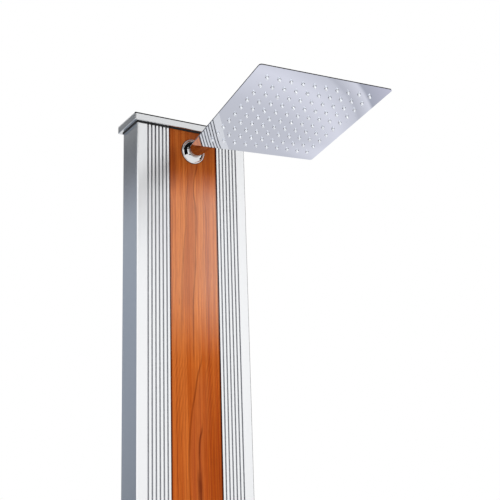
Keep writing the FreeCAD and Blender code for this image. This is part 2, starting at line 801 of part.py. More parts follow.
def make_mixer_lever(turret_back):
    """Turret that turns in the cartridge, its cross pin, and the lever that tips on the pin."""
    axis_z = dim.mixer_height
    slot_width = dim.spindle_width + dim.spindle_clear * 2
    slot_length = dim.slot_behind_pivot + dim.turret_front
    slot_y = pivot_y + dim.slot_behind_pivot - slot_length / 2
    slot_height = dim.turret_radius * 2
    turret_front = pivot_y - dim.turret_front
    turret = cut(
        cylinder(dim.turret_radius, turret_back - turret_front, 0, turret_back, axis_z, "front"),
        block(slot_width, slot_length, slot_height, 0, slot_y, axis_z - dim.turret_radius),
        cylinder(dim.pin_radius + dim.pin_clear, slot_height, -dim.turret_radius, pivot_y, axis_z, "right"),
    )
    node("cartridge_turret", turret)
    pin = cylinder(dim.pin_radius, dim.pin_length, -dim.pin_length / 2, pivot_y, axis_z, "right")
    node("pivot_pin", pin)

    width = dim.spindle_width
    half = dim.spindle_half
    screw_hole = drill(dim.small_shank + dim.screw_clear, dim.handle_screw_length + DRILL_LEAD,
                       0, pivot_y - dim.handle_seat, axis_z, "front")
    tongue_y = pivot_y - dim.spindle_front / 2
    tongue = fused(
        block(width, dim.spindle_front, half * 2, 0, tongue_y, axis_z - half),
        cylinder(half, width, -width / 2, pivot_y, axis_z, "right"),
    )
    pivot_hole = cylinder(dim.pin_radius + dim.pin_clear, width, -width / 2, pivot_y, axis_z, "right")
    node("lever_spindle", cut(tongue, pivot_hole, screw_hole))

    inner = dim.bonnet_radius + dim.lever_gap
    outer = inner + dim.lever_shell
    half_space = block(outer * 2, outer, outer * 2, 0, pivot_y + outer / 2, axis_z - outer)
    shell = cut(sphere(outer, 0, pivot_y, axis_z), half_space)
    bar = doc.addObject("PartDesign::Body", "bar")
    sketch = new_sketch(bar, "YZ_Plane")
    root_z = axis_z - dim.lever_root_drop
    tip_z = axis_z - dim.lever_tip_drop
    draw_loop(sketch, [
        (pivot_y - dim.lever_root_back, root_z), (pivot_y - dim.lever_root_front, root_z),
        (pivot_y - dim.lever_tip_front, tip_z), (pivot_y - dim.lever_tip_back, tip_z),
    ])
    pad = bar.newObject("PartDesign::Pad", "width")
    pad.Profile = sketch
    pad.SideType = "Symmetric"
    bind(pad, Length=dim.lever_width)
    round_edges(bar, dim.lever_round, lambda edge: True)
    boss_length = inner - dim.boss_back + dim.lever_shell / 2
    boss = cylinder(dim.boss_radius, boss_length, 0, pivot_y - dim.boss_back, axis_z, "front")
    clear = dim.spindle_clear
    socket_length = dim.spindle_front + clear - dim.boss_back
    socket_y = pivot_y - dim.boss_back - socket_length / 2
    socket_height = (dim.spindle_half + clear) * 2
    socket = block(slot_width, socket_length, socket_height, 0, socket_y, axis_z - socket_height / 2)
    counterbore = cylinder(dim.button_radius + clear, outer, 0, pivot_y - dim.handle_seat, axis_z, "front")
    cup = cut(fused(shell, bar), sphere(inner, 0, pivot_y, axis_z))
    node("mixer_lever", cut(fused(cup, boss), socket, screw_hole, counterbore))
    seat_y = pivot_y - dim.handle_seat
    node("handle_screw", screw("small", dim.handle_screw_length, 0, seat_y, axis_z, "front"))
    button_back = dim.handle_seat + dim.small_rise + dim.button_gap
    button = cylinder(dim.button_radius, outer - button_back, 0, pivot_y - button_back, axis_z, "front")
    node("index_button", button)


def make_arm():
    """Elbow fitting inside the column, the nut and flange outside it, and the straight arm."""
    shoulder_y = inner_y + dim.arm_gasket_thick
    spigot_end = panel_front_y - dim.arm_spigot
    vertical = fitting_radius + dim.pipe_seat
    solids = [
        cylinder(fitting_radius, vertical, 0, pipe_y, arm_z, "down"),
        sphere(dim.arm_shoulder, 0, pipe_y, arm_z),
        cylinder(dim.arm_shoulder, pipe_y - shoulder_y, 0, pipe_y, arm_z, "front"),
        cylinder(spigot_radius, shoulder_y - spigot_end, 0, shoulder_y, arm_z, "front"),
    ]
    hollow = [
        cylinder(pipe_hole, dim.pipe_seat, 0, pipe_y, arm_z - vertical),
        cylinder(pipe_bore, vertical, 0, pipe_y, arm_z, "down"),
        sphere(pipe_bore, 0, pipe_y, arm_z),
        cylinder(pipe_bore, pipe_y - spigot_end, 0, pipe_y, arm_z, "front"),
    ]
    node("arm_fitting", cut(fused(*solids), *hollow))
    hole = spigot_radius + dim.arm_clear
    column_cuts.append(cylinder(hole, dim.floor_wall, 0, inner_y, arm_z, "front"))
    panel_hole = dim.arm_shoulder + dim.nut_room
    panel_cuts.append(cylinder(panel_hole, inner_y - panel_front_y, 0, inner_y, arm_z, "front"))
    gasket = ring(dim.arm_shoulder, hole, dim.arm_gasket_thick)
    node("arm_gasket", place(gasket, 0, shoulder_y, arm_z, "front"))
    nut = ring(dim.arm_shoulder, hole, dim.arm_nut_thick)
    node("arm_nut", place(nut, 0, recess_y, arm_z, "front"))

    arm_hole = dim.arm_radius + dim.arm_clear
    lip = dim.flange_lip
    edge = dim.flange_edge
    rise = dim.flange_rise
    flange = turned([
        (dim.flange_radius - dim.flange_seat, 0), (dim.flange_radius, 0), (dim.flange_radius, lip - edge),
        (dim.flange_radius - edge, lip), (arm_hole + dim.flange_cone, lip), (arm_hole, rise),
        (arm_hole, rise - dim.flange_wall),
    ])
    node("arm_flange", place(flange, 0, panel_front_y, arm_z, "front"))
    tube_start = panel_front_y - dim.arm_start
    tube_end = ball_y + dim.block_radius - dim.block_grip
    tube = ring(dim.arm_radius, arm_bore, tube_start - tube_end)
    node("arm_tube", place(tube, 0, tube_start, arm_z, "front"))
    return tube_end


def make_arm_end(tube_end):
    """Block at the end of the arm and the ball stud that screws into it from below."""
    half = dim.block_half
    edge = dim.block_edge
    radius = dim.block_radius
    body = place(turned([
        (0, -half), (radius - edge, -half), (radius, edge - half),
        (radius, half - edge), (radius - edge, half), (0, half),
    ]), 0, ball_y, arm_z)
    under = arm_z - half
    bore_depth = dim.stud_length + dim.stud_washer_thick
    thread_hole = dim.stud_thread + dim.arm_clear
    passage = dim.stud_bore + dim.arm_clear
    hollow = [
        cylinder(dim.arm_radius + dim.arm_clear, radius, 0, tube_end, arm_z, "back"),
        cylinder(passage, tube_end - ball_y, 0, ball_y, arm_z, "back"),
        cylinder(passage, half, 0, ball_y, under),
        cylinder(thread_hole, bore_depth, 0, ball_y, under),
    ]
    node("arm_end_block", cut(body, *hollow))
    washer = ring(dim.stud_thread, dim.stud_bore, dim.stud_washer_thick)
    node("stud_washer", place(washer, 0, ball_y, under + dim.stud_length))

    seat = dim.ball_drop - half
    collar_under = seat - dim.collar_rise
    stem = place(turned([
        (0, 0), (dim.stud_neck, 0), (dim.stud_neck, collar_under), (dim.stud_collar, collar_under),
        (dim.stud_collar, seat), (dim.stud_thread, seat), (dim.stud_thread, seat + dim.stud_length),
        (0, seat + dim.stud_length),
    ]), 0, ball_y, ball_z)
    bore_length = dim.ball_radius + seat + dim.stud_length
    bore = cylinder(dim.stud_bore, bore_length, 0, ball_y, ball_z - dim.ball_radius)
    node("ball_stud", cut(fused(stem, sphere(dim.ball_radius, 0, ball_y, ball_z)), bore))


def on_head(label, thing):
    """Name a piece of the head and set it at the ball's centre with the head's tilt, roll and turn."""
    thing.setExpression("Placement", (
        f"placement(vector(0; {ball_y.formula}; {ball_z.formula}); "
        "rotation(vector(1; 0; 0); Sizes.head_tilt) * rotation(vector(0; 1; 0); Sizes.head_roll) "
        "* rotation(vector(0; 0; 1); Sizes.head_spin))"
    ))
    node(label, thing)


def make_ball_joint():
    """Two slip rings on the ball, the hub that cups it from below and the nut that holds it from above."""
    slide = dim.ball_radius + dim.seat_clear
    lower_outer = slide + dim.lower_ring
    upper_outer = slide + dim.upper_ring
    lower_zone = cylinder(lower_outer, dim.lower_ring_from - dim.lower_ring_to, 0, 0, -dim.lower_ring_from)
    on_head("lower_slip_ring", cut(common(sphere(lower_outer), lower_zone), sphere(slide)))
    upper_zone = cylinder(upper_outer, dim.upper_ring_to - dim.upper_ring_from, 0, 0, dim.upper_ring_from)
    on_head("upper_slip_ring", cut(common(sphere(upper_outer), upper_zone), sphere(slide)))

    pan_top = dim.water_gap + dim.mat_thick + dim.sheet_thick * 2 - dim.head_drop
    flange_top = pan_top + dim.hub_flange_thick
    hub_top = -dim.hub_top
    hub = turned([
        (dim.hub_bore, pan_top), (dim.hub_flange, pan_top), (dim.hub_flange, flange_top),
        (dim.hub_radius, flange_top), (dim.hub_radius, hub_top), (dim.hub_bore, hub_top),
    ])
    on_head("head_hub", cut(hub, sphere(lower_outer + dim.ring_clear)))
    thread = dim.hub_radius + dim.arm_clear
    top = dim.nut_top
    nut = turned([
        (0, 0), (thread, 0), (thread, -dim.nut_skirt), (dim.nut_radius, -dim.nut_skirt),
        (dim.nut_radius, top - dim.nut_chamfer), (dim.nut_radius - dim.nut_chamfer, top), (0, top),
    ])
    on_head("socket_nut", cut(nut, sphere(upper_outer + dim.ring_clear)))


def rounded_square(side, corner, bottom, height):
    """A square sheet with rounded corners."""
    sheet_body = prism([rectangle(side, side)], bottom, height)
    round_edges(sheet_body, corner, upright)
    return sheet_body


def nozzle_grid(body, feature, guide):
    """Repeat a feature of a body over the square field of nozzles."""
    grid = body.newObject("PartDesign::LinearPattern", "grid")
    grid.Originals = [feature]
    grid.Direction = (guide, ["H_Axis"])
    grid.Direction2 = (guide, ["V_Axis"])
    grid.Mode = "Spacing"
    grid.Mode2 = "Spacing"
    grid.Spacings2 = [EVEN_STEP]
    bind(grid, Offset=dim.nozzle_pitch, Offset2=dim.nozzle_pitch,
         Occurrences=dim.nozzle_count, Occurrences2=dim.nozzle_count)
    body.Tip = grid


def drill_grid(body, radius, bottom):
    """Drill one hole at the field's first place and repeat it over the field."""
    first = -dim.nozzle_pitch * (dim.nozzle_count - 1) / 2
    sketch = new_sketch(body, "XY_Plane", bottom)
    draw_circle(sketch, first, first, radius)
    pocket = body.newObject("PartDesign::Pocket", "hole")
    pocket.Profile = sketch
    pocket.Type = "ThroughAll"
    pocket.Reversed = True
    nozzle_grid(body, pocket, sketch)


def make_face_plate(bottom):
    """Mirror polished front sheet with its field of holes."""
    body = rounded_square(dim.head_side, dim.head_corner, bottom, dim.sheet_thick)
    drill_grid(body, dim.nozzle_root + dim.nozzle_clear, bottom)
    on_head("head_face_plate", body)


def make_nozzle_mat(bottom):
    """Soft mat behind the front sheet, with a hollow nozzle through each hole."""
    body = prism([rectangle(dim.mat_side, dim.mat_side)], bottom, dim.mat_thick)
    first = -dim.nozzle_pitch * (dim.nozzle_count - 1) / 2
    tip = bottom - dim.sheet_thick - dim.nozzle_rise
    root = bottom + dim.mat_thick / 2
    sketch = new_sketch(body, "XZ_Plane", -first)
    draw_loop(sketch, [
        (first, root), (first + dim.nozzle_root, root), (first + dim.nozzle_root, bottom - dim.sheet_thick),
        (first + dim.nozzle_tip, tip), (first, tip),
    ])
    spindle = sketch.addGeometry(Part.LineSegment(Vector(first.value, tip.value, 0),
                                                  Vector(first.value, root.value, 0)), True)
    pin_point(sketch, spindle, START_INDEX, first, tip)
    pin_point(sketch, spindle, END_INDEX, first, root)
    nozzle = body.newObject("PartDesign::Revolution", "nozzle")
    nozzle.Profile = sketch
    nozzle.ReferenceAxis = (sketch, ["Axis0"])
    guide = new_sketch(body, "XY_Plane")
    nozzle_grid(body, nozzle, guide)
    drill_grid(body, dim.nozzle_bore, tip)
    on_head("nozzle_mat", body)


def lofted(body, kind, low_side, low_z, high_side, high_z):
    """A square frustum added to a body or taken out of it."""
    low = new_sketch(body, "XY_Plane", low_z)
    draw_loop(low, rectangle(low_side, low_side))
    high = new_sketch(body, "XY_Plane", high_z)
    draw_loop(high, rectangle(high_side, high_side))
    loft = body.newObject(kind, "pan")
    loft.Profile = low
    loft.Sections = [high]
    doc.recompute()


def make_back_shell(bottom):
    """Back sheet with its rim on the front sheet and a raised pan that leaves room for the water."""
    rim_top = bottom + dim.sheet_thick
    ceiling = bottom + dim.mat_thick + dim.water_gap
    crown = ceiling + dim.sheet_thick
    crown_side = dim.pan_side - dim.pan_slope * 2
    body = rounded_square(dim.head_side, dim.head_corner, bottom, dim.sheet_thick)
    doc.recompute()
    lofted(body, "PartDesign::AdditiveLoft", dim.pan_side, rim_top, crown_side, crown)
    inner_side = dim.pan_side - dim.sheet_thick * 2
    inner_crown = crown_side - dim.sheet_thick * 2
    lofted(body, "PartDesign::SubtractiveLoft", inner_side, bottom, inner_crown, ceiling)
    sketch = new_sketch(body, "XY_Plane", bottom)
    draw_circle(sketch, 0, 0, dim.hub_bore)
    pocket = body.newObject("PartDesign::Pocket", "water_hole")
    pocket.Profile = sketch
    pocket.Type = "ThroughAll"
    pocket.Reversed = True
    on_head("head_back_shell", body)


def make_head():
    """The thin square head: front sheet, nozzle mat and back shell."""
    face_under = -dim.head_drop
    face_top = face_under + dim.sheet_thick
    make_face_plate(face_under)
    make_nozzle_mat(face_top)
    make_back_shell(face_top)


def make_panel():
    """Wooden front panel in its recess, on two strips of mounting tape."""
    length = column_top - column_bottom
    panel_y = panel_front_y + dim.panel_thick / 2
    panel = block(dim.panel_width, dim.panel_thick, length, 0, panel_y, column_bottom)
    node("wood_panel", cut(panel, *panel_cuts))
    tape_y = recess_y - dim.tape_thick / 2
    strips = [
        block(dim.tape_width, dim.tape_thick, length, dim.tape_offset * side, tape_y, column_bottom)
        for side in (-1, 1)
    ]
    node("panel_tape", grouped(strips))


def make_column():
    """Hollow aluminium extrusion with the panel recess and the grooves that leave the ribs."""
    length = column_top - column_bottom
    body = prism([rectangle(dim.col_width, dim.col_depth)], column_bottom, length)
    round_edges(body, dim.col_corner, upright)
    doc.recompute()
    pocket_through(body, [chamber_outline(as_size(0))], column_bottom)
    recess_depth = recess_y - front_y
    loops = [rectangle(recess_half * 2, recess_depth, 0, front_y + recess_depth / 2)]
    for index in range(round(dim.groove_count.value)):
        for side in (-1, 1):
            middle = (dim.groove_first + dim.groove_pitch * index) * side
            groove = rectangle(dim.groove_width, dim.groove_depth, middle, front_y + dim.groove_depth / 2)
            loops.append(groove)
    pocket_through(body, loops, column_bottom)
    corner_x = dim.col_width.value / 2 - dim.col_corner.value - TINY

    def rib_edge(edge):
        box = edge.BoundBox
        on_front = abs(box.YMin - front_y.value) < TINY
        return upright(edge) and on_front and abs(box.XMin) < corner_x

    round_edges(body, dim.rib_round, rib_edge)
    node("column_profile", cut(body, *column_cuts))


def check_and_write():
    """Stop on anything that failed, then write one file for each sub-part."""
    doc.recompute()
    failed = [item.Label for item in doc.Objects if "Invalid" in item.State or "Error" in item.State]
    for label, thing in finished.items():
        if thing.Shape.isNull() or not thing.Shape.isValid():
            failed.append(label)
    if failed:
        raise RuntimeError(f"failed: {failed}")
    os.makedirs("parts", exist_ok=True)
    for label, thing in finished.items():
        thing.Shape.exportStep(f"parts/{label}.step")
        print(label, len(thing.Shape.Solids), round(thing.Shape.Volume))


make_base()
make_cap()
make_bulkheads()
make_drain()
make_pipes(make_inlet())
make_mixer_lever(make_mixer_body())
make_arm_end(make_arm())
make_ball_joint()
make_head()
make_panel()
make_column()
check_and_write()
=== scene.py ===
# %% [markdown]
# # Dressing a solar shower
# The shower is a slim aluminium water column with a wooden front, a chromed arm and a mirror
# polished rain head. Every solid comes from the CAD frame, already in place and in metres. This
# lesson adds the camera, the studio, the finishes and the small pieces that the solids keep plain.

import json

import bmesh
import bpy
import numpy as np
from mathutils import Matrix, Vector


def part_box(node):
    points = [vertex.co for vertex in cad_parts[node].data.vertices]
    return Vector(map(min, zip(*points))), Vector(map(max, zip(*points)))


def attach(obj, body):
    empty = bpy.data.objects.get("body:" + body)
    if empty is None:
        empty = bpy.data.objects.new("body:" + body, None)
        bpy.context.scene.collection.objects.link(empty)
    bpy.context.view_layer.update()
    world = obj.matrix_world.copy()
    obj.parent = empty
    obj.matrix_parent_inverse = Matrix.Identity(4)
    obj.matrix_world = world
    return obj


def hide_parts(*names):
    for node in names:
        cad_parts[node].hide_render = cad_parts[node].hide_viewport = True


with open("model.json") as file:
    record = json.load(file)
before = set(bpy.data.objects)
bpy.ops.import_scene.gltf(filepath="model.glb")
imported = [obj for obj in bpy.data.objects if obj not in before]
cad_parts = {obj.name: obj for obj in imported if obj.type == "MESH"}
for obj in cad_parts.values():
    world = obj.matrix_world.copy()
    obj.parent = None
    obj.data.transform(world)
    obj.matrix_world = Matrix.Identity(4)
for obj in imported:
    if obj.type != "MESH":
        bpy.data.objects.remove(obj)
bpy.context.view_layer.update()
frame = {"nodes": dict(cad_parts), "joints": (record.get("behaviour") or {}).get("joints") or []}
nodes = frame["nodes"]
joints = {joint["name"]: joint for joint in frame["joints"]}

# %% [markdown]
# ## The camera
# The picture was taken from the left, at eye level, looking up at the head. A camera can be set by
# eye, but here its place and its three directions were solved from straight edges of the column and
# from the corners of the head, so they are written down as they came out. The image is square.

# %% Camera
CAMERA_PLACE = (-0.5321, -1.0564, 1.7234)
LOOKING = Vector((0.51432595, 0.82910811, 0.21919981))
RIGHTWARDS = Vector((0.8530179, -0.52095952, -0.03101038))
SENSOR_MM = 36.0
LENS_MM = 53.03


def place_camera():
    """A camera whose axes are the solved directions: right, up and backwards."""
    data = bpy.data.cameras.new("camera")
    data.sensor_width = SENSOR_MM
    data.lens = LENS_MM
    camera = bpy.data.objects.new("camera", data)
    bpy.context.scene.collection.objects.link(camera)
    upwards = RIGHTWARDS.cross(LOOKING)
    turn = Matrix((RIGHTWARDS, upwards, -LOOKING)).transposed()
    camera.matrix_world = Matrix.Translation(CAMERA_PLACE) @ turn.to_4x4()
    bpy.context.scene.camera = camera


place_camera()
print("camera at", CAMERA_PLACE, "lens", LENS_MM)

# %% [markdown]
# ## Shader values as arithmetic
# A material is a net of nodes, and a net is hard to read as code. One small class holds a socket, so
# that `a + 1` or `a * b` adds the Math node by itself. Every other node comes from its `node` method:
# settings first, then a number, a colour or a link for each socket.

# %% The class for shader values
class Flow:
    """A value in a material. Arithmetic on it adds Math nodes to the material's tree."""

    def __init__(self, tree, socket=None):
        self.tree = tree
        self.socket = socket

    def node(self, kind, settings=None, sockets=None, output=0):
        """Any node, with its settings set first and then its sockets filled or linked."""
        made = self.tree.nodes.new(kind)
        for name, value in (settings or {}).items():
            if name == "stops":
                self.set_stops(made.color_ramp, value)
            elif name == "points":
                self.set_points(made.mapping, value)
            else:
                setattr(made, name, value)
        for name, value in (sockets or {}).items():
            if isinstance(value, Flow):
                self.tree.links.new(value.socket, made.inputs[name])
            else:
                made.inputs[name].default_value = value
        return Flow(self.tree, made.outputs[output])

    def set_stops(self, ramp, stops):
        """The places and colours of a colour ramp."""
        while len(ramp.elements) < len(stops):
            ramp.elements.new(1.0)
        for element, (place, colour) in zip(ramp.elements, stops):
            element.position = place
            element.color = (*colour, 1.0)

    def set_points(self, mapping, points):
        """The points that a curve goes through."""
        curve = mapping.curves[0]
        while len(curve.points) < len(points):
            curve.points.new(0.5, 0.5)
        for point, place in zip(curve.points, points):
            point.location = place
        mapping.update()

    def math(self, operation, first, second=0.0):
        """One Math node with one or two values."""
        return self.node("ShaderNodeMath", {"operation": operation}, {0: first, 1: second})

    def __add__(self, other):
        return self.math("ADD", self, other)

    def __sub__(self, other):
        return self.math("SUBTRACT", self, other)

    def __mul__(self, other):
        return self.math("MULTIPLY", self, other)

    def __truediv__(self, other):
        return self.math("DIVIDE", self, other)

    __radd__ = __add__


print("arithmetic ready: add, subtract, multiply and divide")

# %% [markdown]
# ## Words for the finishes
# The same few steps come back in each finish: the object's own coordinates, stretched so that a
# pattern becomes grain; noise; a soft step between two levels; and a mix of two colours. They get
# short names here. Object coordinates are in metres and stay with the piece when it moves.

# %% Helpers for coordinates and levels
OBJECT_OUT = 3
VALUE_OUT = 1
MILLIMETRE = 0.001


def object_place(flow):
    """The object's own coordinates."""
    return flow.node("ShaderNodeTexCoord", output=OBJECT_OUT)


def coordinate(flow, axis):
    """One of the object's own coordinates: X, Y or Z."""
    return flow.node("ShaderNodeSeparateXYZ", None, {0: object_place(flow)}, output="XYZ".index(axis))


def stretched(flow, x, y, z):
    """Object coordinates times a factor for each axis."""
    return flow.node("ShaderNodeMapping", None, {"Vector": object_place(flow), "Scale": (x, y, z)})


def evenly(flow, scale):
    """Object coordinates times one factor."""
    return stretched(flow, scale, scale, scale)


def noise(flow, vector, detail=2.0, roughness=0.5):
    """Cloudy noise between 0 and 1 with features about one unit wide."""
    sockets = {"Vector": vector, "Scale": 1.0, "Detail": detail, "Roughness": roughness}
    return flow.node("ShaderNodeTexNoise", None, sockets)


def soft_step(flow, value, low, high, start=0.0, end=1.0):
    """A smooth change from start to end while value goes from low to high."""
    sockets = {0: value, 1: low, 2: high, 3: start, 4: end}
    return flow.node("ShaderNodeMapRange", {"interpolation_type": "SMOOTHSTEP"}, sockets)


def rising(flow, value, span):
    """Zero below a span and one above it."""
    return soft_step(flow, value, *span)


def falling(flow, value, span):
    """One below a span and zero above it."""
    return soft_step(flow, value, *span, 1.0, 0.0)


print("coordinates and levels ready")

# %% Helpers for colours and materials
COLOUR_A = 6
COLOUR_B = 7
COLOUR_OUT = 2


def rgba(colour):
    """A colour of three numbers with its alpha, and a flow as it is."""
    return colour if isinstance(colour, Flow) else (*colour, 1.0)


def darker(colour, share):
    """A colour of three numbers times a share."""
    return tuple(part * share for part in colour)


def mixed(flow, share, first, second):
    """Two colours mixed by a share."""
    sockets = {0: share, COLOUR_A: rgba(first), COLOUR_B: rgba(second)}
    return flow.node("ShaderNodeMix", {"data_type": "RGBA"}, sockets, COLOUR_OUT)


def bump(flow, height, distance):
    """A surface normal tipped by a height map, with the height times the distance in metres."""
    return flow.node("ShaderNodeBump", None, {"Height": height, "Distance": distance, "Strength": 1.0})


def start_material(name):
    """A new material, the flow that adds its nodes, and its main shader."""
    material = bpy.data.materials.new(name)
    material.use_nodes = True
    tree = material.node_tree
    shader = next(item for item in tree.nodes if item.type == "BSDF_PRINCIPLED")
    return material, Flow(tree), shader


def feed(flow, shader, **values):
    """Give sockets of the main shader a value or a link. An underscore in a name stands for a space."""
    for name, value in values.items():
        socket = shader.inputs[name.replace("_", " ")]
        if isinstance(value, Flow):
            flow.tree.links.new(value.socket, socket)
        else:
            socket.default_value = value


def dress(material, *names):
    """Give CAD nodes a material in place of their own."""
    for name in names:
        slots = nodes[name].data.materials
        slots.clear()
        slots.append(material)


print("colours and materials ready")

# %% [markdown]
# ## Satin aluminium
# The column is an extrusion: the die leaves very fine straight lines along it, and the anodising
# makes it satin. A flat grey would look like paint. Noise stretched along the length gives the die
# lines, and a slow, wide noise makes some patches a little duller than others. Little light gets into
# the grooves and the recess of the panel, so their shade is painted into the colour: a darker grey in
# the grooves and nearly black in the recess. The plain narrow sides are smoother.
# The upper edge of the cap is slightly rounded, and a small bump shows it as a dark line.

# %% Masks on the aluminium
GROOVE_DEPTH = (-0.0297, -0.0282)
GROOVE_REACH = 0.0845
RECESS_REACH = 0.0448
SIDE_FROM = 0.0975
CAP_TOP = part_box("top_cap")[1].z
EDGE_WIDTH = 0.0024
EDGE_DROP = 0.0008


def in_groove(flow, reach):
    """One behind the front face as far as a reach from the middle, and zero at the back."""
    across = flow.math("ABSOLUTE", coordinate(flow, "X"))
    depth = coordinate(flow, "Y")
    behind = rising(flow, depth, GROOVE_DEPTH) * flow.math("LESS_THAN", depth, 0.0)
    return behind * flow.math("LESS_THAN", across, reach)


def on_side(flow):
    """One on the two narrow sides of the column."""
    return flow.math("GREATER_THAN", flow.math("ABSOLUTE", coordinate(flow, "X")), SIDE_FROM)


def rounded_edge(flow):
    """Height of the cap's sides in metres: it falls off softly towards the upper edge."""
    return soft_step(flow, coordinate(flow, "Z"), CAP_TOP - EDGE_WIDTH, CAP_TOP, 0.0, -EDGE_DROP)


print("cap's upper edge at", round(CAP_TOP, 4))

# %% Satin aluminium
COLUMN_GREY = (0.955, 0.965, 0.98)
CAP_GREY = (0.72, 0.73, 0.745)
# Painted shade: darker grey in the grooves and nearly black in the recess round the panel
GROOVE_SHADE = (0.62, 0.63, 0.65)
RECESS_SHADE = (0.03, 0.03, 0.03)
COLUMN_LINES = (2200.0, 2200.0, 1.5)
CAP_LINES = (4.0, 1500.0, 1500.0)
COLUMN_DULLNESS = 0.30
CAP_DULLNESS = 0.17
PATCH_SCALE = (9.0, 9.0, 3.0)
SHADE_STEP = (0.3, 0.7)
SHADE_DARKER = 0.97
LINE_DULLING = 0.04
PATCH_DULLING = 0.06
SIDE_SMOOTHER = 0.13
DIE_LINE_HEIGHT = 0.000002


def satin_aluminium(name, colour, lines, dullness, grooved=False):
    """Metal with die lines along one axis: lines gives the noise scale for x, y and z."""
    material, flow, shader = start_material(name)
    die_lines = noise(flow, stretched(flow, *lines), detail=3.0)
    patches = noise(flow, stretched(flow, *PATCH_SCALE), detail=3.0)
    shade = rising(flow, die_lines * 0.5 + patches * 0.5, SHADE_STEP)
    finish = mixed(flow, shade, darker(colour, SHADE_DARKER), colour)
    dullness = dullness + (die_lines - 0.5) * LINE_DULLING + (patches - 0.5) * PATCH_DULLING
    height = die_lines * DIE_LINE_HEIGHT
    if grooved:
        # Painted shade where little light gets in: the grooves and the panel's recess
        finish = mixed(flow, in_groove(flow, GROOVE_REACH), finish, GROOVE_SHADE)
        finish = mixed(flow, in_groove(flow, RECESS_REACH), finish, RECESS_SHADE)
        dullness = dullness - on_side(flow) * SIDE_SMOOTHER
    else:
        height = height + rounded_edge(flow)
    feed(flow, shader, Base_Color=finish, Metallic=1.0, Roughness=dullness, Normal=bump(flow, height, 1.0))
    return material


satin_column = satin_aluminium("satin_column", COLUMN_GREY, COLUMN_LINES, COLUMN_DULLNESS, grooved=True)
satin_cap = satin_aluminium("satin_cap", CAP_GREY, CAP_LINES, CAP_DULLNESS)
dress(satin_column, "column_profile")
dress(satin_cap, "top_cap")
print("satin aluminium on the column and its cap")

# %% [markdown]
# ## The wooden front
# The panel is a straight board of reddish hardwood under a thin oil finish. Noise alone gives a board
# its fibres and its slow bands of colour, but an eye remembers the few strong veins, and noise never
# puts them where they belong. So each vein is a curve that gives its place across the board at every
# height, and a soft line is drawn along it. Growth lines follow the veins at an even distance that a
# slow noise bends, which makes the long pointed arches of wood. Below the veins lies the ground of the
# board: two browns in bands, redder below, and paler in the upper band where the oil shines, which is
# a painted sheen. Painted shade darkens the board's edges and its top under the cap. The oil shines on
# the upper part, and most on the right.

# %% Veins as curves
BOARD_SPAN = 0.1
VEIN_LOW = 1.60
VEIN_HIGH = 2.19
VEIN_FADE = 0.03
VEIN_CORE = 0.1
VEINS = {
    "left": ((1.62, -24.5), (1.872, -24.3), (1.919, -22.8), (1.967, -19.6), (2.0, -17.4), (2.034, -13.4),
             (2.067, -12.9), (2.121, -8.6), (2.16, -8.0)),
    "right": ((1.62, -6.0), (1.872, -3.3), (1.896, -3.0), (1.92, -1.7), (1.961, 1.7), (1.986, 2.1),
              (2.019, 3.5), (2.056, 3.2), (2.083, 0.0), (2.103, 1.3), (2.129, 7.2), (2.16, 10.0)),
    "middle": ((1.618, -13.2), (1.661, -14.2), (1.698, -12.0), (1.73, -8.2), (1.757, -2.6), (1.784, 2.2),
               (1.815, 10.6), (1.85, 14.0)),
    "dark": ((1.617, 4.4), (1.646, 4.0), (1.668, 3.6), (1.689, 4.8), (1.706, 8.6), (1.75, 11.0)),
}


def vein_place(flow, along, points):
    """Where a vein lies across the board: a curve through (height in m, side in mm), as metres."""
    length = VEIN_HIGH - VEIN_LOW
    inner = [((height - VEIN_LOW) / length, side * MILLIMETRE / BOARD_SPAN + 0.5)
             for height, side in points]
    curve = flow.node("ShaderNodeFloatCurve", {"points": inner}, {"Value": (along - VEIN_LOW) / length})
    return (curve - 0.5) * BOARD_SPAN


def vein_line(flow, across, along, place, width, low, high):
    """One along the vein, falling to zero at its width and beyond its two ends."""
    beside = flow.math("ABSOLUTE", across - place)
    line = falling(flow, beside, (width * VEIN_CORE, width))
    line = line * rising(flow, along, (low, low + VEIN_FADE))
    return line * falling(flow, along, (high - VEIN_FADE, high))


print(len(VEINS), "veins between", VEIN_LOW, "and", VEIN_HIGH)

# %% Ground of the board
WOOD_LIGHT = (0.69, 0.195, 0.036)
WOOD_SHEEN_PALE = (0.78, 0.27, 0.075)
WOOD_RED = (0.33, 0.040, 0.005)
WOOD_MIDDLE = (0.47, 0.092, 0.008)
WOOD_LOW = (0.41, 0.060, 0.002)
BAND_SCALE = (75.0, 75.0, 0.8)
BAND_PART = 0.55
BAND_STEP = (0.36, 0.62)
LOW_HEIGHTS = (1.62, 2.02)
LOW_SHARE = 0.5
PALE_SHEEN_FROM = (1.79, 1.93)
PALE_SHEEN_TO = (2.05, 2.12)
PALE_SHEEN_SHARE = 0.5
RED_SCALE = (280.0, 280.0, 1.2)
RED_STEP = (0.44, 0.66)
RED_HEIGHTS = (1.64, 1.84)
RED_SHARES = (0.9, 0.45)


def ground_colour(flow, along, streaks):
    """Bands of two browns, deeper low down and paler higher up as a painted sheen, with red streaks."""
    bands = noise(flow, stretched(flow, *BAND_SCALE))
    share = rising(flow, bands * BAND_PART + streaks * (1.0 - BAND_PART), BAND_STEP)
    colour = mixed(flow, share, WOOD_MIDDLE, WOOD_LIGHT)
    colour = mixed(flow, soft_step(flow, along, *LOW_HEIGHTS, LOW_SHARE, 0.0), colour, WOOD_LOW)
    # Painted sheen: paler wood in the band where the oil shines
    pale = rising(flow, along, PALE_SHEEN_FROM) * falling(flow, along, PALE_SHEEN_TO)
    colour = mixed(flow, pale * PALE_SHEEN_SHARE, colour, WOOD_SHEEN_PALE)
    red_streaks = noise(flow, stretched(flow, *RED_SCALE), detail=3.0)
    redness = soft_step(flow, along, *RED_HEIGHTS, *RED_SHARES)
    return mixed(flow, rising(flow, red_streaks, RED_STEP) * redness, colour, WOOD_RED)


print("ground of the board ready")

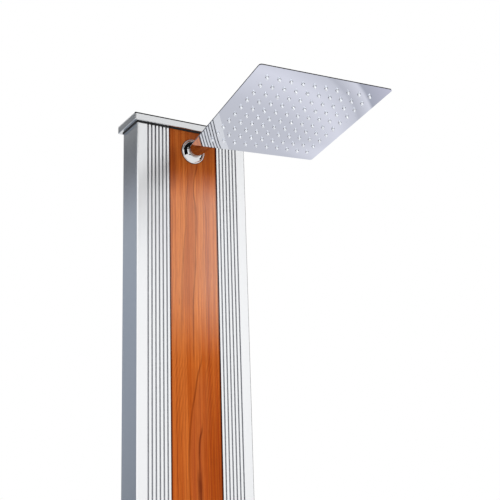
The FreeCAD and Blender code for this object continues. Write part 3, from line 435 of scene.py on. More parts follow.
# %% Heartwood and growth lines
LINE_PITCH = 0.0047
LINE_WANDER = 1.6
WANDER_SCALE = (30.0, 30.0, 1.3)
LINE_STEP = (0.35, 0.98)
LINE_PATCH_SCALE = (130.0, 130.0, 1.4)
LINE_PATCH_STEP = (0.42, 0.66)
UPPER_HEART_EDGE = (0.0, 0.003)
UPPER_HEART_FROM = (1.84, 1.92)
LOWER_HEART_EDGE = (0.0, 0.004)
LOWER_HEART_SIDE = (0.004, 0.02)
LOWER_HEART_TO = (1.76, 1.82)
LOWER_HEART_PART = 0.7


def growth_lines(flow, across, vein):
    """Lines that keep their distance from a vein: dark where the fraction of that distance nears one."""
    wander = noise(flow, stretched(flow, *WANDER_SCALE))
    beside = flow.math("ABSOLUTE", across - vein)
    levels = flow.math("FRACT", beside / LINE_PITCH + wander * LINE_WANDER)
    patches = noise(flow, stretched(flow, *LINE_PATCH_SCALE))
    return rising(flow, levels, LINE_STEP) * rising(flow, patches, LINE_PATCH_STEP)


def joined(flow, lines):
    """The strongest of several lines."""
    strongest = lines[0]
    for line in lines[1:]:
        strongest = flow.math("MAXIMUM", strongest, line)
    return strongest


def heartwood(flow, across, along, places):
    """One between the two upper veins, and less between the two lower ones."""
    upper = rising(flow, across - places["left"], UPPER_HEART_EDGE)
    upper = upper * rising(flow, places["right"] - across, UPPER_HEART_EDGE)
    upper = upper * rising(flow, along, UPPER_HEART_FROM)
    lower = rising(flow, across - places["middle"], LOWER_HEART_EDGE)
    lower = lower * falling(flow, across - places["dark"], LOWER_HEART_SIDE)
    lower = lower * falling(flow, along, LOWER_HEART_TO)
    return joined(flow, [upper, lower * LOWER_HEART_PART])


print("growth lines every", LINE_PITCH, "m")

# %% Veins on the board
WOOD_DARK = (0.12, 0.016, 0.004)
WOOD_HEART = (0.44, 0.105, 0.030)
HEART_SHARE = 0.55
LINES_CHANGE = (1.78, 1.88)
UPPER_LINES = 0.28
LOWER_LINES = 0.34
BREAK_SCALE = (60.0, 60.0, 22.0)
BREAK_STEP = (0.3, 0.6)
BREAK_LEAST = 0.6
# Vein, width in metres, lowest and highest point, strength
STROKES = (
    ("left", 0.0022, 1.83, 2.13, 0.35),
    ("right", 0.0021, 1.80, 2.15, 0.6),
    ("middle", 0.0024, 1.55, 1.83, 0.6),
    ("dark", 0.0026, 1.55, 1.72, 0.9),
    ("dark", 0.0066, 1.55, 1.66, 0.9),
)


def vein_colours(flow, across, along, colour):
    """The heartwood between the veins, the growth lines beside them and then the veins themselves."""
    places = {name: vein_place(flow, along, points) for name, points in VEINS.items()}
    colour = mixed(flow, heartwood(flow, across, along, places) * HEART_SHARE, colour, WOOD_HEART)
    beside_upper = growth_lines(flow, across, places["right"]) * rising(flow, along, LINES_CHANGE)
    beside_lower = growth_lines(flow, across, places["middle"]) * falling(flow, along, LINES_CHANGE)
    colour = mixed(flow, beside_upper * UPPER_LINES + beside_lower * LOWER_LINES, colour, WOOD_DARK)
    lines = [vein_line(flow, across, along, places[name], width, low, high) * strength
             for name, width, low, high, strength in STROKES]
    breaks = noise(flow, stretched(flow, *BREAK_SCALE))
    broken = soft_step(flow, breaks, *BREAK_STEP, BREAK_LEAST, 1.0)
    return mixed(flow, joined(flow, lines) * broken, colour, WOOD_DARK)


print(len(STROKES), "strokes along the veins")

# %% Patches, fibres and sheen
# A dark patch near the top on the left of the board, darker where the streaks are
DARK_PATCH_PLACE = (-0.037, 2.120)
DARK_PATCH_HALF = (0.012, 0.048)
DARK_PATCH_SHARE = 0.9
LOW_SIDE = (0.006, 0.042)
LOW_SIDE_TO = (1.62, 1.80)
LOW_SIDE_LEAST = 0.08
LOW_SIDE_STREAKS = 0.35
BRIGHT_FROM = (-0.028, -0.020)
BRIGHT_TO = (-0.017, -0.011)
BRIGHT_HEIGHTS = (1.70, 1.80)
BRIGHT_LEAST = 0.05
BRIGHT_STREAKS = 0.7
FIBRE_STEP = (0.38, 0.72)
FIBRE_SHARE = 0.34
PORE_SHARE = 0.35
BOARD_EDGE_SHADE = (0.0397, 0.0418)
BOARD_EDGE_SHADE_SHARE = 0.9
TOP_HEIGHTS = (2.07, 2.14)
TOP_SHARE = 0.32
SHEEN_ACROSS = (-0.01, 0.03)
SHEEN_LEFT = 0.5
SHEEN_FROM = (1.80, 1.94)
SHEEN_TO = (2.06, 2.13)


def top_left_patch(flow, across, along):
    """A soft dark patch near the top: one at its middle, zero at an ellipse round it."""
    side = (across - DARK_PATCH_PLACE[0]) / DARK_PATCH_HALF[0]
    up = (along - DARK_PATCH_PLACE[1]) / DARK_PATCH_HALF[1]
    return falling(flow, side * side + up * up, (0.0, 1.0))


def board_patches(flow, across, along, streaks, colour):
    """A darker side and a brighter band low on the board, and a dark patch near the top on the left."""
    low_side = rising(flow, across, LOW_SIDE) * falling(flow, along, LOW_SIDE_TO)
    low_side = low_side * (LOW_SIDE_LEAST + streaks * LOW_SIDE_STREAKS)
    colour = mixed(flow, low_side, colour, WOOD_DARK)
    bright_band = rising(flow, across, BRIGHT_FROM) * falling(flow, across, BRIGHT_TO)
    bright_band = bright_band * falling(flow, along, BRIGHT_HEIGHTS)
    colour = mixed(flow, bright_band * (BRIGHT_LEAST + streaks * BRIGHT_STREAKS), colour, WOOD_LIGHT)
    return mixed(flow, top_left_patch(flow, across, along) * streaks * DARK_PATCH_SHARE, colour, WOOD_DARK)


def fine_grain(flow, across, along, fibres, pores, colour):
    """Fibres and pores, painted shade along the board's edges and the shade under the cap."""
    colour = mixed(flow, rising(flow, fibres, FIBRE_STEP) * FIBRE_SHARE, colour, WOOD_DARK)
    colour = mixed(flow, pores * PORE_SHARE, colour, WOOD_DARK)
    # Painted shade along both edges of the board, beside the gap round it
    edges = rising(flow, flow.math("ABSOLUTE", across), BOARD_EDGE_SHADE)
    colour = mixed(flow, edges * BOARD_EDGE_SHADE_SHARE, colour, WOOD_DARK)
    return mixed(flow, rising(flow, along, TOP_HEIGHTS) * TOP_SHARE, colour, WOOD_DARK)


def oil_sheen(flow, across, along):
    """How much of the oil's gloss shows: most on the right of the upper part."""
    sheen = soft_step(flow, across, *SHEEN_ACROSS, SHEEN_LEFT, 1.0)
    return sheen * rising(flow, along, SHEEN_FROM) * falling(flow, along, SHEEN_TO)


print("dark_patch at", DARK_PATCH_PLACE)

# %% Wood
STREAK_SCALE = (420.0, 420.0, 3.0)
FIBRE_SCALE = (1300.0, 1300.0, 14.0)
PORE_SCALE = (2200.0, 2200.0, 45.0)
PORE_STEP = (0.62, 0.72)
WOOD_DULLNESS = 0.32
FIBRE_DULLING = 0.12
FIBRE_HEIGHT = 0.00003


def wood_finish():
    """Board colour from its ground, veins, patches and fibres, under a thin oil."""
    material, flow, shader = start_material("oiled_hardwood")
    across = coordinate(flow, "X")
    along = coordinate(flow, "Z")
    streaks = noise(flow, stretched(flow, *STREAK_SCALE), detail=3.0, roughness=0.6)
    fibres = noise(flow, stretched(flow, *FIBRE_SCALE), detail=3.0, roughness=0.65)
    pores = rising(flow, noise(flow, stretched(flow, *PORE_SCALE), detail=1.0), PORE_STEP)
    colour = ground_colour(flow, along, streaks)
    colour = vein_colours(flow, across, along, colour)
    colour = board_patches(flow, across, along, streaks, colour)
    colour = fine_grain(flow, across, along, fibres, pores, colour)
    feed(flow, shader, Base_Color=colour, Roughness=WOOD_DULLNESS + (fibres - 0.5) * FIBRE_DULLING,
         Specular_IOR_Level=0.03, Coat_Weight=oil_sheen(flow, across, along), Coat_Roughness=0.22,
         Coat_IOR=2.1, Normal=bump(flow, fibres - pores, FIBRE_HEIGHT))
    return material


dress(wood_finish(), "wood_panel")
print("wood on the front panel")

# %% [markdown]
# ## Chrome and mirror steel
# Plated brass and polished sheet are both mirrors, so what they show is the studio. What makes them
# real is that the mirror isn't perfect: the sheet is a little wavy, and water leaves faint spots. The
# face plate of the head is also bent a little along its back edge, and a dark ring is painted round
# each nozzle hole: a painted reflection of its rolled edge. The holes are too many to paint by hand, so
# the finish finds the nearest one by itself: the place on the plate, counted in pitches, has its holes
# in the middle of every cell.

# %% The face plate
BALL_PLACE = Vector(joints["head_turn"]["pos_m"])
BALL_AXIS = Vector(joints["head_turn"]["axis"])
HEAD_SPIN = np.radians(-2.9)
straight_along = Vector(joints["head_side_tilt"]["axis"])
straight_across = straight_along.cross(BALL_AXIS)
HEAD_ACROSS = straight_across * np.cos(HEAD_SPIN) + straight_along * np.sin(HEAD_SPIN)
HEAD_ALONG = straight_along * np.cos(HEAD_SPIN) - straight_across * np.sin(HEAD_SPIN)
NOZZLE_PITCH = 0.0171
HALF_FIELD = 5
SHEET_HALF = 0.0985
TWIST_DEPTHS = (-0.262, -0.200)
TWIST_TILT = 0.010


def corner_twist(flow):
    """How far the sheet is bent along its back edge, in metres: its tilt grows towards that edge."""
    across = coordinate(flow, "X") + SHEET_HALF
    return across * rising(flow, coordinate(flow, "Y"), TWIST_DEPTHS) * TWIST_TILT


def from_hole_one_way(flow, place, direction):
    """Distance from the middle of the nearest cell in one direction, in pitches."""
    sockets = {0: place, 1: direction}
    length = flow.node("ShaderNodeVectorMath", {"operation": "DOT_PRODUCT"}, sockets, VALUE_OUT)
    pitches = length / NOZZLE_PITCH
    cell = flow.math("MAXIMUM", flow.math("FLOOR", pitches), -HALF_FIELD)
    return pitches - flow.math("MINIMUM", cell, HALF_FIELD - 1) - 0.5


def from_hole(flow):
    """Distance from the nearest nozzle in metres, on the plate as it stands at rest."""
    sockets = {0: object_place(flow), 1: BALL_PLACE}
    place = flow.node("ShaderNodeVectorMath", {"operation": "SUBTRACT"}, sockets)
    across = from_hole_one_way(flow, place, HEAD_ACROSS)
    along = from_hole_one_way(flow, place, HEAD_ALONG)
    return flow.math("SQRT", across * across + along * along) * NOZZLE_PITCH


print("nozzle field of", 2 * HALF_FIELD, "by", 2 * HALF_FIELD)

# %% Bright metals
SPOT_SCALE = 160.0
HAZE_STEP = (0.55, 0.8)
HAZE_DARKER = 0.94
HAZE_DULLING = 0.05
# Painted reflection: a dark ring round each nozzle hole
HOLE_SHADE_SPAN = (0.0021, 0.0027)
HOLE_SHADE_SHARE = 0.9
HOLE_SHADE_GREY = (0.10, 0.10, 0.11)
SCUFF_SCALE = 45.0
SCUFF_STEP = (0.55, 0.75)
SCUFF_DULLING = 0.12
BRUSH_DARKER = 0.85
BRUSH_DULLING = 0.2
BRUSH_HEIGHT = 0.00005


def bright_metal(name, colour, dullness, waves, wave_height, pierced=False):
    """A mirror with slow waves in its surface and faint dull spots, and a painted dark ring round each hole
    if pierced.
    """
    material, flow, shader = start_material(name)
    spots = noise(flow, evenly(flow, SPOT_SCALE), detail=4.0, roughness=0.65)
    haze = rising(flow, spots, HAZE_STEP)
    surface = noise(flow, evenly(flow, waves), detail=1.0) * wave_height
    finish = mixed(flow, haze, colour, darker(colour, HAZE_DARKER))
    if pierced:
        surface = surface + corner_twist(flow)
        # Painted reflection of the rolled edge: a dark ring round each hole
        edges = soft_step(flow, from_hole(flow), *HOLE_SHADE_SPAN, HOLE_SHADE_SHARE, 0.0)
        finish = mixed(flow, edges, finish, HOLE_SHADE_GREY)
    feed(flow, shader, Base_Color=finish, Metallic=1.0, Roughness=dullness + haze * HAZE_DULLING,
         Normal=bump(flow, surface, 1.0))
    return material


def brushed_metal(name, colour, lines, dullness):
    """Metal with straight brush lines along one axis and small scuffs."""
    material, flow, shader = start_material(name)
    brushed = noise(flow, stretched(flow, *lines), detail=4.0, roughness=0.6)
    scuffs = rising(flow, noise(flow, evenly(flow, SCUFF_SCALE), detail=6.0), SCUFF_STEP)
    dullness = dullness + (brushed - 0.5) * BRUSH_DULLING + scuffs * SCUFF_DULLING
    feed(flow, shader, Base_Color=mixed(flow, brushed, darker(colour, BRUSH_DARKER), colour), Metallic=1.0,
         Roughness=dullness, Normal=bump(flow, brushed, BRUSH_HEIGHT))
    return material


print("two kinds of metal ready")

# %% Put the bright metals on
CHROME = (0.80, 0.80, 0.81)
# Painted shade: a darker, warmer copy of the chrome for the arm, so that it shows the wood darker
SHADED_ARM_CHROME = (0.52, 0.48, 0.45)
POLISHED_SHEET = (0.80, 0.815, 0.865)
STAINLESS = (0.60, 0.60, 0.605)
BRASS = (0.76, 0.60, 0.33)
PLATED_WAVES = (30.0, 0.0)
SHEET_WAVES = (14.0, 0.00004)
STEEL_LINES = (6.0, 900.0, 900.0)
BRASS_LINES = (500.0, 500.0, 500.0)
CHROMED = ("arm_end_block", "ball_stud", "head_hub", "mixer_plate", "mixer_bonnet", "mixer_lever")
STEEL = ("base_plate", "base_socket", "pivot_pin", "handle_screw")
BRASSES = ("drain_bush", "inlet_nut", "inlet_elbow", "hot_elbow", "mixer_body", "mixer_nut",
           "cartridge_nut", "arm_fitting", "arm_nut", "cartridge_turret", "lever_spindle")
chrome = bright_metal("bright_chrome", CHROME, 0.03, *PLATED_WAVES)
# The arm's chrome is a darker copy: painted shade in what it reflects
shaded_arm_chrome = bright_metal("shaded_arm_chrome", SHADED_ARM_CHROME, 0.05, *PLATED_WAVES)
polished_sheet = bright_metal("polished_sheet", POLISHED_SHEET, 0.02, *SHEET_WAVES)
pierced_sheet = bright_metal("pierced_sheet", POLISHED_SHEET, 0.02, *SHEET_WAVES, pierced=True)
brushed_steel = brushed_metal("brushed_steel", STAINLESS, STEEL_LINES, 0.33)
turned_brass = brushed_metal("turned_brass", BRASS, BRASS_LINES, 0.28)
dress(chrome, *CHROMED)
dress(shaded_arm_chrome, "arm_tube")
dress(pierced_sheet, "head_face_plate")
dress(polished_sheet, "head_back_shell")
dress(brushed_steel, *STEEL)
dress(turned_brass, *BRASSES)
print("bright metals on", len(CHROMED) + len(STEEL) + len(BRASSES) + 3, "nodes")

# %% [markdown]
# ## Rubber, silicone and plastics
# The seals are matte black rubber, the nozzles pale soft silicone, and the hidden water parts are
# moulded plastic. A moulded surface has a fine grain and a slightly uneven sheen, so each gets noise
# in its colour, its roughness and its height.

# %% Moulded finishes
SLOW_SCALE = 25.0
MOULD_DARKER = 0.8
MOULD_DULLING = 0.15
MOULD_HEIGHT = 0.00003
RUBBERS = ("cap_gasket", "bottom_seal", "top_seal", "drain_seal", "inlet_gasket", "mixer_gasket",
           "arm_gasket", "stud_washer")
POLYMERS = ("bottom_bulkhead", "top_bulkhead", "bottom_gland", "top_gland", "check_valve", "feed_tee",
            "cartridge")
PIPES = ("cold_pipe", "hot_pipe", "riser_pipe")
SLIP_RINGS = ("lower_slip_ring", "upper_slip_ring")
# Colour, roughness, scale of the grain and nodes of each finish
MOULDINGS = {
    "black_rubber": ((0.018, 0.018, 0.019), 0.75, 1500.0, RUBBERS),
    "foam_tape": ((0.03, 0.03, 0.03), 0.9, 2500.0, ("panel_tape",)),
    "black_polymer": ((0.03, 0.03, 0.032), 0.45, 1200.0, POLYMERS),
    "white_pipe": ((0.78, 0.78, 0.75), 0.35, 900.0, PIPES),
    "pale_silicone": ((0.90, 0.93, 0.98), 0.18, 1800.0, ("nozzle_mat",)),
    "white_nylon": ((0.85, 0.84, 0.80), 0.4, 1200.0, SLIP_RINGS),
}


def moulded(name, colour, dullness, grain):
    """A moulded surface: a fine grain in height and a slow change of colour and sheen."""
    material, flow, shader = start_material(name)
    fine = noise(flow, evenly(flow, grain))
    slow = noise(flow, evenly(flow, SLOW_SCALE), detail=3.0)
    feed(flow, shader, Base_Color=mixed(flow, slow, darker(colour, MOULD_DARKER), colour),
         Roughness=dullness + (slow - 0.5) * MOULD_DULLING, Normal=bump(flow, fine, MOULD_HEIGHT))
    return material


mouldings = {}
for finish_name, (colour, dullness, grain, node_names) in MOULDINGS.items():
    mouldings[finish_name] = moulded(finish_name, colour, dullness, grain)
    dress(mouldings[finish_name], *node_names)
black_rubber = mouldings["black_rubber"]
print("moulded finishes:", list(mouldings))

# %% [markdown]
# ## The index button
# The button in the lever shows which way is hot: one half is red and the other blue. The piece is a
# plain disc, so the finish draws the border between the halves from the coordinate across it.

# %% Index button
HOT_RED = (0.50, 0.02, 0.02)
COLD_BLUE = (0.02, 0.08, 0.45)
INDEX_BORDER = (-0.0003, 0.0003)
INDEX_GRAIN = 1500.0
INDEX_HEIGHT = 0.00002


def index_finish():
    """Red on the user's left and blue on the right, with a moulded grain."""
    material, flow, shader = start_material("index_colours")
    share = rising(flow, coordinate(flow, "X"), INDEX_BORDER)
    grain = noise(flow, evenly(flow, INDEX_GRAIN))
    feed(flow, shader, Base_Color=mixed(flow, share, HOT_RED, COLD_BLUE), Roughness=0.25 + grain * 0.1,
         Normal=bump(flow, grain, INDEX_HEIGHT))
    return material


dress(index_finish(), "index_button")
print("index button in two colours")

# %% [markdown]
# ## Small turned pieces
# Screws, the ball's nut, the hose connector, the drain plug and the flange of the arm are turned on a
# lathe or rolled. The solids keep them plain. A lathe piece is a profile carried round an axis, so
# one function makes them all: it takes rows of radius and height and gives a grid of points. Where a
# piece has a hexagon or knurling, the radius of those rows also changes with the angle.

# %% A lathe in numpy
ROUND = 96
KNURL_DEPTH = 0.022
NEARLY_UPRIGHT = 0.9
angles = np.linspace(0.0, 2.0 * np.pi, ROUND, endpoint=False)
hexagon = np.cos(np.pi / 6) / np.cos(angles % (np.pi / 3) - np.pi / 6)
knurling = 1.0 - KNURL_DEPTH * (0.5 + 0.5 * np.cos(angles * ROUND / 3))
circle = np.ones(ROUND)


def lathe(profile):
    """Points (r s cos a, r s sin a, h) in millimetres: rows of r, h and the shape s round the axis."""
    radius, height = np.array([row[:2] for row in profile]).T
    shape = np.array([row[2] if len(row) > 2 else circle for row in profile])
    reach = radius[:, None] * shape
    flat = np.broadcast_to(height[:, None], reach.shape)
    return np.stack([reach * np.cos(angles), reach * np.sin(angles), flat], axis=-1)


def stood(grid, place, axis):
    """A lathe grid with its foot at a place and its height along an axis, in metres."""
    axis = np.array(axis) / np.linalg.norm(axis)
    side = np.cross(axis, (0.0, 0.0, 1.0) if abs(axis[2]) < NEARLY_UPRIGHT else (1.0, 0.0, 0.0))
    side = side / np.linalg.norm(side)
    turn = np.stack([side, np.cross(axis, side), axis])
    return np.array(place) + MILLIMETRE * grid @ turn


def curve_through(first, pull, last, count=6):
    """Points of a quadratic curve: (1-t)^2 first + 2 t (1-t) pull + t^2 last."""
    t = np.linspace(0.0, 1.0, count)[:, None]
    return (1 - t) ** 2 * np.array(first) + 2 * t * (1 - t) * np.array(pull) + t ** 2 * np.array(last)


def arc(middle, half, turns):
    """Points of an ellipse: its middle plus its half sizes times (cos a, sin a)."""
    return np.array(middle) + np.array(half) * np.stack([np.cos(turns), np.sin(turns)], axis=-1)


print("lathe with", ROUND, "steps round")

# %% From grids to a piece
MERGE_DISTANCE = 1e-6
CRISP_ANGLE = np.radians(32.0)


def grid_faces(rows, columns, closed):
    """Quads between neighbouring points: columns always join up, rows only on a closed profile."""
    i, j = np.meshgrid(np.arange(rows if closed else rows - 1), np.arange(columns), indexing="ij")
    below, beside = (i + 1) % rows, (j + 1) % columns
    corners = (i * columns + j, below * columns + j, below * columns + beside, i * columns + beside)
    return np.stack(corners, axis=-1).reshape(-1, 4)


def clean_mesh(name, points, faces):
    """A mesh with its poles merged, its faces outwards and crisp edges where it turns sharply."""
    mesh = bpy.data.meshes.new(name)
    mesh.from_pydata(points.tolist(), [], faces.tolist())
    work = bmesh.new()
    work.from_mesh(mesh)
    bmesh.ops.remove_doubles(work, verts=work.verts, dist=MERGE_DISTANCE)
    bmesh.ops.recalc_face_normals(work, faces=work.faces)
    work.to_mesh(mesh)
    work.free()
    mesh.shade_smooth()
    mesh.set_sharp_from_angle(angle=CRISP_ANGLE)
    return mesh


def lathe_piece(name, grids, material, body, closed=False, stands_for=None):
    """One piece from copies of a lathe grid, riding on a body, in place of a CAD node if one is named."""
    grids = np.array(grids)
    copies, rows, columns, _ = grids.shape
    offsets = np.arange(copies)[:, None, None] * rows * columns
    faces = (grid_faces(rows, columns, closed) + offsets).reshape(-1, 4)
    mesh = clean_mesh(name, grids.reshape(-1, 3), faces)
    mesh.materials.append(material)
    piece = bpy.data.objects.new(name, mesh)
    bpy.context.scene.collection.objects.link(piece)
    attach(piece, body)
    if stands_for:
        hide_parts(stands_for)
    print(name, len(mesh.polygons), "faces")


print("edges are crisp above", round(float(np.degrees(CRISP_ANGLE))), "degrees")

# %% [markdown]
# ## The arm's flange
# The flange hides the hole in the panel. It is spun from thin sheet: a thin rounded lip, a small
# hollow and a bell up to the arm, which give a plated piece its bright and dark rings. A thin black
# ring round its foot is painted shade, for the contact shadow where it meets the wood. The lip is a
# quarter of an ellipse, and the hollow, the bell and its mouth are quadratic curves through three
# points each.

# %% Flange
flange_low, flange_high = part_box("arm_flange")
ARM_PLACE = (0.0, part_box("wood_panel")[0].y, (flange_low.z + flange_high.z) / 2.0)
TO_FRONT = (0.0, -1.0, 0.0)
LIP_START = 0.05
lip = arc((19.7, 0.8), (1.0, 1.2), np.linspace(LIP_START, np.pi / 2, 9))
hollow = curve_through((19.5, 2.0), (19.25, 2.0), (19.1, 2.3))
bell = curve_through((19.0, 2.45), (16.6, 6.4), (12.5, 8.0), count=10)
mouth = curve_through((12.4, 8.05), (12.1, 8.2), (12.05, 7.9), count=4)
flange_profile = [*lip, *hollow, *bell, *mouth, (12.05, 6.6), (17.2, 0.8)]
# Painted shade: a thin black ring round the flange's foot for its contact shadow on the wood
shadow_ring_profile = [(17.5, 0.05), (21.2, 0.05), (21.3, 0.4), (21.0, 0.75), (17.5, 0.75)]
flange_grid = stood(lathe(flange_profile), ARM_PLACE, TO_FRONT)
shadow_ring_grid = stood(lathe(shadow_ring_profile), ARM_PLACE, TO_FRONT)
lathe_piece("arm_flange_bell", [flange_grid], chrome, "column", closed=True,
            stands_for="arm_flange")
lathe_piece("flange_shadow_ring", [shadow_ring_grid], black_rubber, "column", closed=True)

# %% [markdown]
# ## The ball's nut
# The nut over the ball joint is turned by hand, so its rim is knurled: the radius of the rim's rows
# rises and falls round the axis. Its inside is a ball's seat, a part of a circle in the profile.

# %% Knurled nut
SEAT_RADIUS = 10.4
NUT_TOP = 6.5
seat_turns = np.linspace(np.arcsin(NUT_TOP / SEAT_RADIUS), 0.0, 6)
seat = arc((0.0, 0.0), (SEAT_RADIUS, SEAT_RADIUS), seat_turns)
nut_profile = [(12.8, -6.0), (15.4, -6.0), (16.0, -5.4, knurling), (16.0, 3.0, knurling), (15.5, 3.9),
               (13.4, 6.1), (12.9, NUT_TOP), *seat, (12.8, 0.0)]
nut_grid = stood(lathe(nut_profile), BALL_PLACE, BALL_AXIS)
lathe_piece("knurled_nut", [nut_grid], chrome, "rain_head", closed=True, stands_for="socket_nut")

# %% [markdown]
# ## Screws, connector and plug
# The screws of the foot, the cap and the tank's ends have a round head with a hexagon socket. The hose
# connector has a hexagon to hold it by, a collar and a groove that takes a rubber ring, and the drain
# plug has a hexagon head. They were made to the places and sizes of the solids that they stand for.

# %% Screws
SOCKET_WIDTH = 0.45
SOCKET_FLOOR = 0.35
HEAD_ROUNDING = ((0.72, 1.0), (0.9, 0.86), (1.0, 0.5), (1.0, 0.0))
TIP_BEVEL = 0.5
TO_BACK = (0.0, 1.0, 0.0)
# Radius of the shank, radius and rise of the head, and length of the shank, in millimetres
SCREWS = {
    "socket_screws": (2.9, 5.5, 3.0, 6.4),
    "cap_screws": (1.9, 3.6, 2.2, 5.4),
    "bulkhead_screws": (1.9, 3.6, 2.2, 14.3),
}


def screw_profile(shank, head, rise, length):
    """A socket in the head, the round head and the shank, as rows of a lathe profile."""
    width = head * SOCKET_WIDTH
    floor = rise * SOCKET_FLOOR
    rounding = [(head * out, rise * up) for out, up in HEAD_ROUNDING]
    return [(0.0, floor), (width, floor, hexagon), (width, rise, hexagon), *rounding, (shank, 0.0),
            (shank, TIP_BEVEL - length), (shank - TIP_BEVEL, -length), (0.0, -length)]


def screw_seats(name, head, rise):
    """Seats and directions of screws in pairs, from their box: out to both sides or to the back."""
    low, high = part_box(name)
    heights = sorted({round(low.z + head * MILLIMETRE, 5), round(high.z - head * MILLIMETRE, 5)})
    pairs = [(side, height) for side in (-1.0, 1.0) for height in heights]
    if name == "socket_screws":
        across = high.x - rise * MILLIMETRE
        return [((side * across, 0.0, height), (side, 0.0, 0.0)) for side, height in pairs]
    across = high.x - head * MILLIMETRE
    return [((side * across, high.y - rise * MILLIMETRE, height), TO_BACK) for side, height in pairs]


for node_name, (shank, head, rise, length) in SCREWS.items():
    profile = lathe(screw_profile(shank, head, rise, length))
    grids = [stood(profile, place, way) for place, way in screw_seats(node_name, head, rise)]
    lathe_piece(node_name.replace("screws", "socket_heads"), grids, brushed_steel, "column",
                stands_for=node_name)

# %% Hose connector and drain plug
INLET_PLACE = (0.0, 0.0315, 0.140)
DRAIN_PLACE = (0.05, 0.0315, 0.233)
connector_profile = [
    (5.0, -21.5), (9.8, -21.5), (10.2, -21.0), (10.2, 0.0),
    (16.0, 0.0, hexagon), (16.0, 4.3, hexagon), (14.4, 5.0, hexagon),
    (9.0, 5.0), (9.0, 10.5), (8.6, 11.0), (6.6, 11.0), (6.6, 15.0), (7.6, 15.0), (8.0, 15.4),
    (8.0, 24.0), (7.3, 28.0), (6.6, 29.0), (5.4, 29.0), (5.0, 28.6),
]
plug_profile = [
    (0.0, 5.0), (10.6, 5.0, hexagon), (12.0, 4.2, hexagon), (12.0, 0.0, hexagon),
    (8.0, 0.0), (8.0, -13.0), (7.5, -13.5), (0.0, -13.5),
]
ring_profile = arc((7.75, 13.0), (1.15, 1.15), np.linspace(0.0, 2.0 * np.pi, 16, endpoint=False))
connector_grid = stood(lathe(connector_profile), INLET_PLACE, TO_BACK)
ring_grid = stood(lathe(ring_profile), INLET_PLACE, TO_BACK)
plug_grid = stood(lathe(plug_profile), DRAIN_PLACE, TO_BACK)
lathe_piece("hose_nose", [connector_grid], turned_brass, "column", closed=True,
            stands_for="hose_connector")
lathe_piece("hose_ring", [ring_grid], black_rubber, "column", closed=True)
lathe_piece("drain_plug_head", [plug_grid], turned_brass, "column", stands_for="drain_plug")

# %% [markdown]
# ## The studio
# The background is white, and metal shows what stands around it. A world that is white to the camera
# and to reflections gives the background, and the floor is pale in reflections too. Cards outside the
# picture, as a photographer would use, give the metal its darker parts: a shaded one at the back on the
# left for the side of the column, a small black one beside the flange, two over the shower, one on the
# right, and a round one with rings on the floor, which draws the arcs on the face plate. The cards show
# in reflections only, and the lamps everywhere but there. None of this is part of the object.

# %% World
AMBIENT = 0.62
GLOSSY_OUT = 3
THROUGH_OUT = 6


def seen_directly(flow):
    """One for camera, mirror and see-through rays, and zero for the light on the object."""
    camera_ray = flow.node("ShaderNodeLightPath")
    glossy_ray = flow.node("ShaderNodeLightPath", output=GLOSSY_OUT)
    through_ray = flow.node("ShaderNodeLightPath", output=THROUGH_OUT)
    return flow.math("MAXIMUM", flow.math("MAXIMUM", camera_ray, glossy_ray), through_ray)


def white_world():
    """White for the camera and for reflections, and a softer white as light on the object."""
    world = bpy.data.worlds.new("white_studio")
    world.use_nodes = True
    bpy.context.scene.world = world
    flow = Flow(world.node_tree)
    background = next(item for item in world.node_tree.nodes if item.type == "BACKGROUND")
    background.inputs["Color"].default_value = (1.0, 1.0, 1.0, 1.0)
    strength = AMBIENT + seen_directly(flow) * (1.0 - AMBIENT)
    world.node_tree.links.new(strength.socket, background.inputs["Strength"])


white_world()
print("world white to the camera,", AMBIENT, "as light")

# %% Floor
FLOOR_HALF = 9.0
FLOOR_LIT = (0.80, 0.81, 0.83)
FLOOR_SEEN = (1.0, 1.0, 1.0, 1.0)
FLOOR_GLOW = 0.75


def stage_sheet(name, points, shade):
    """A sheet from a grid of points, with a plain dull finish, that isn't part of the object."""
    rows, columns, _ = points.shape
    i, j = np.meshgrid(np.arange(rows - 1), np.arange(columns - 1), indexing="ij")
    corners = (i * columns + j, (i + 1) * columns + j, (i + 1) * columns + j + 1, i * columns + j + 1)
    faces = np.stack(corners, axis=-1).reshape(-1, 4)
    mesh = bpy.data.meshes.new(name)
    mesh.from_pydata(points.reshape(-1, 3).tolist(), [], faces.tolist())
    sheet = bpy.data.objects.new(name, mesh)
    bpy.context.scene.collection.objects.link(sheet)
    material, flow, shader = start_material(name)
    feed(flow, shader, Base_Color=(*shade, 1.0), Roughness=0.9, Specular_IOR_Level=0.0)
    mesh.materials.append(material)
    return sheet, flow, shader


def flat_points(centre, across, along):
    """Centre plus u times one half edge plus v times the other, with u and v from -1 to 1."""
    u, v = np.meshgrid((-1.0, 1.0), (-1.0, 1.0), indexing="ij")
    return np.array(centre) + u[..., None] * np.array(across) + v[..., None] * np.array(along)


def pale_floor():
    """A floor that keeps the shadow: part of it is lit, and part glows white by itself."""
    points = flat_points((0.0, 0.0, 0.0), (FLOOR_HALF, 0.0, 0.0), (0.0, FLOOR_HALF, 0.0))
    _, flow, shader = stage_sheet("floor", points, FLOOR_LIT)
    glow = flow.node("ShaderNodeEmission", None, {"Color": FLOOR_SEEN})
    lit = Flow(flow.tree, shader.outputs[0])
    both = flow.node("ShaderNodeMixShader", None, {0: seen_directly(flow) * FLOOR_GLOW, 1: lit, 2: glow})
    output = next(item for item in flow.tree.nodes if item.type == "OUTPUT_MATERIAL")
    flow.tree.links.new(both.socket, output.inputs["Surface"])


pale_floor()
print("floor", 2 * FLOOR_HALF, "m wide")

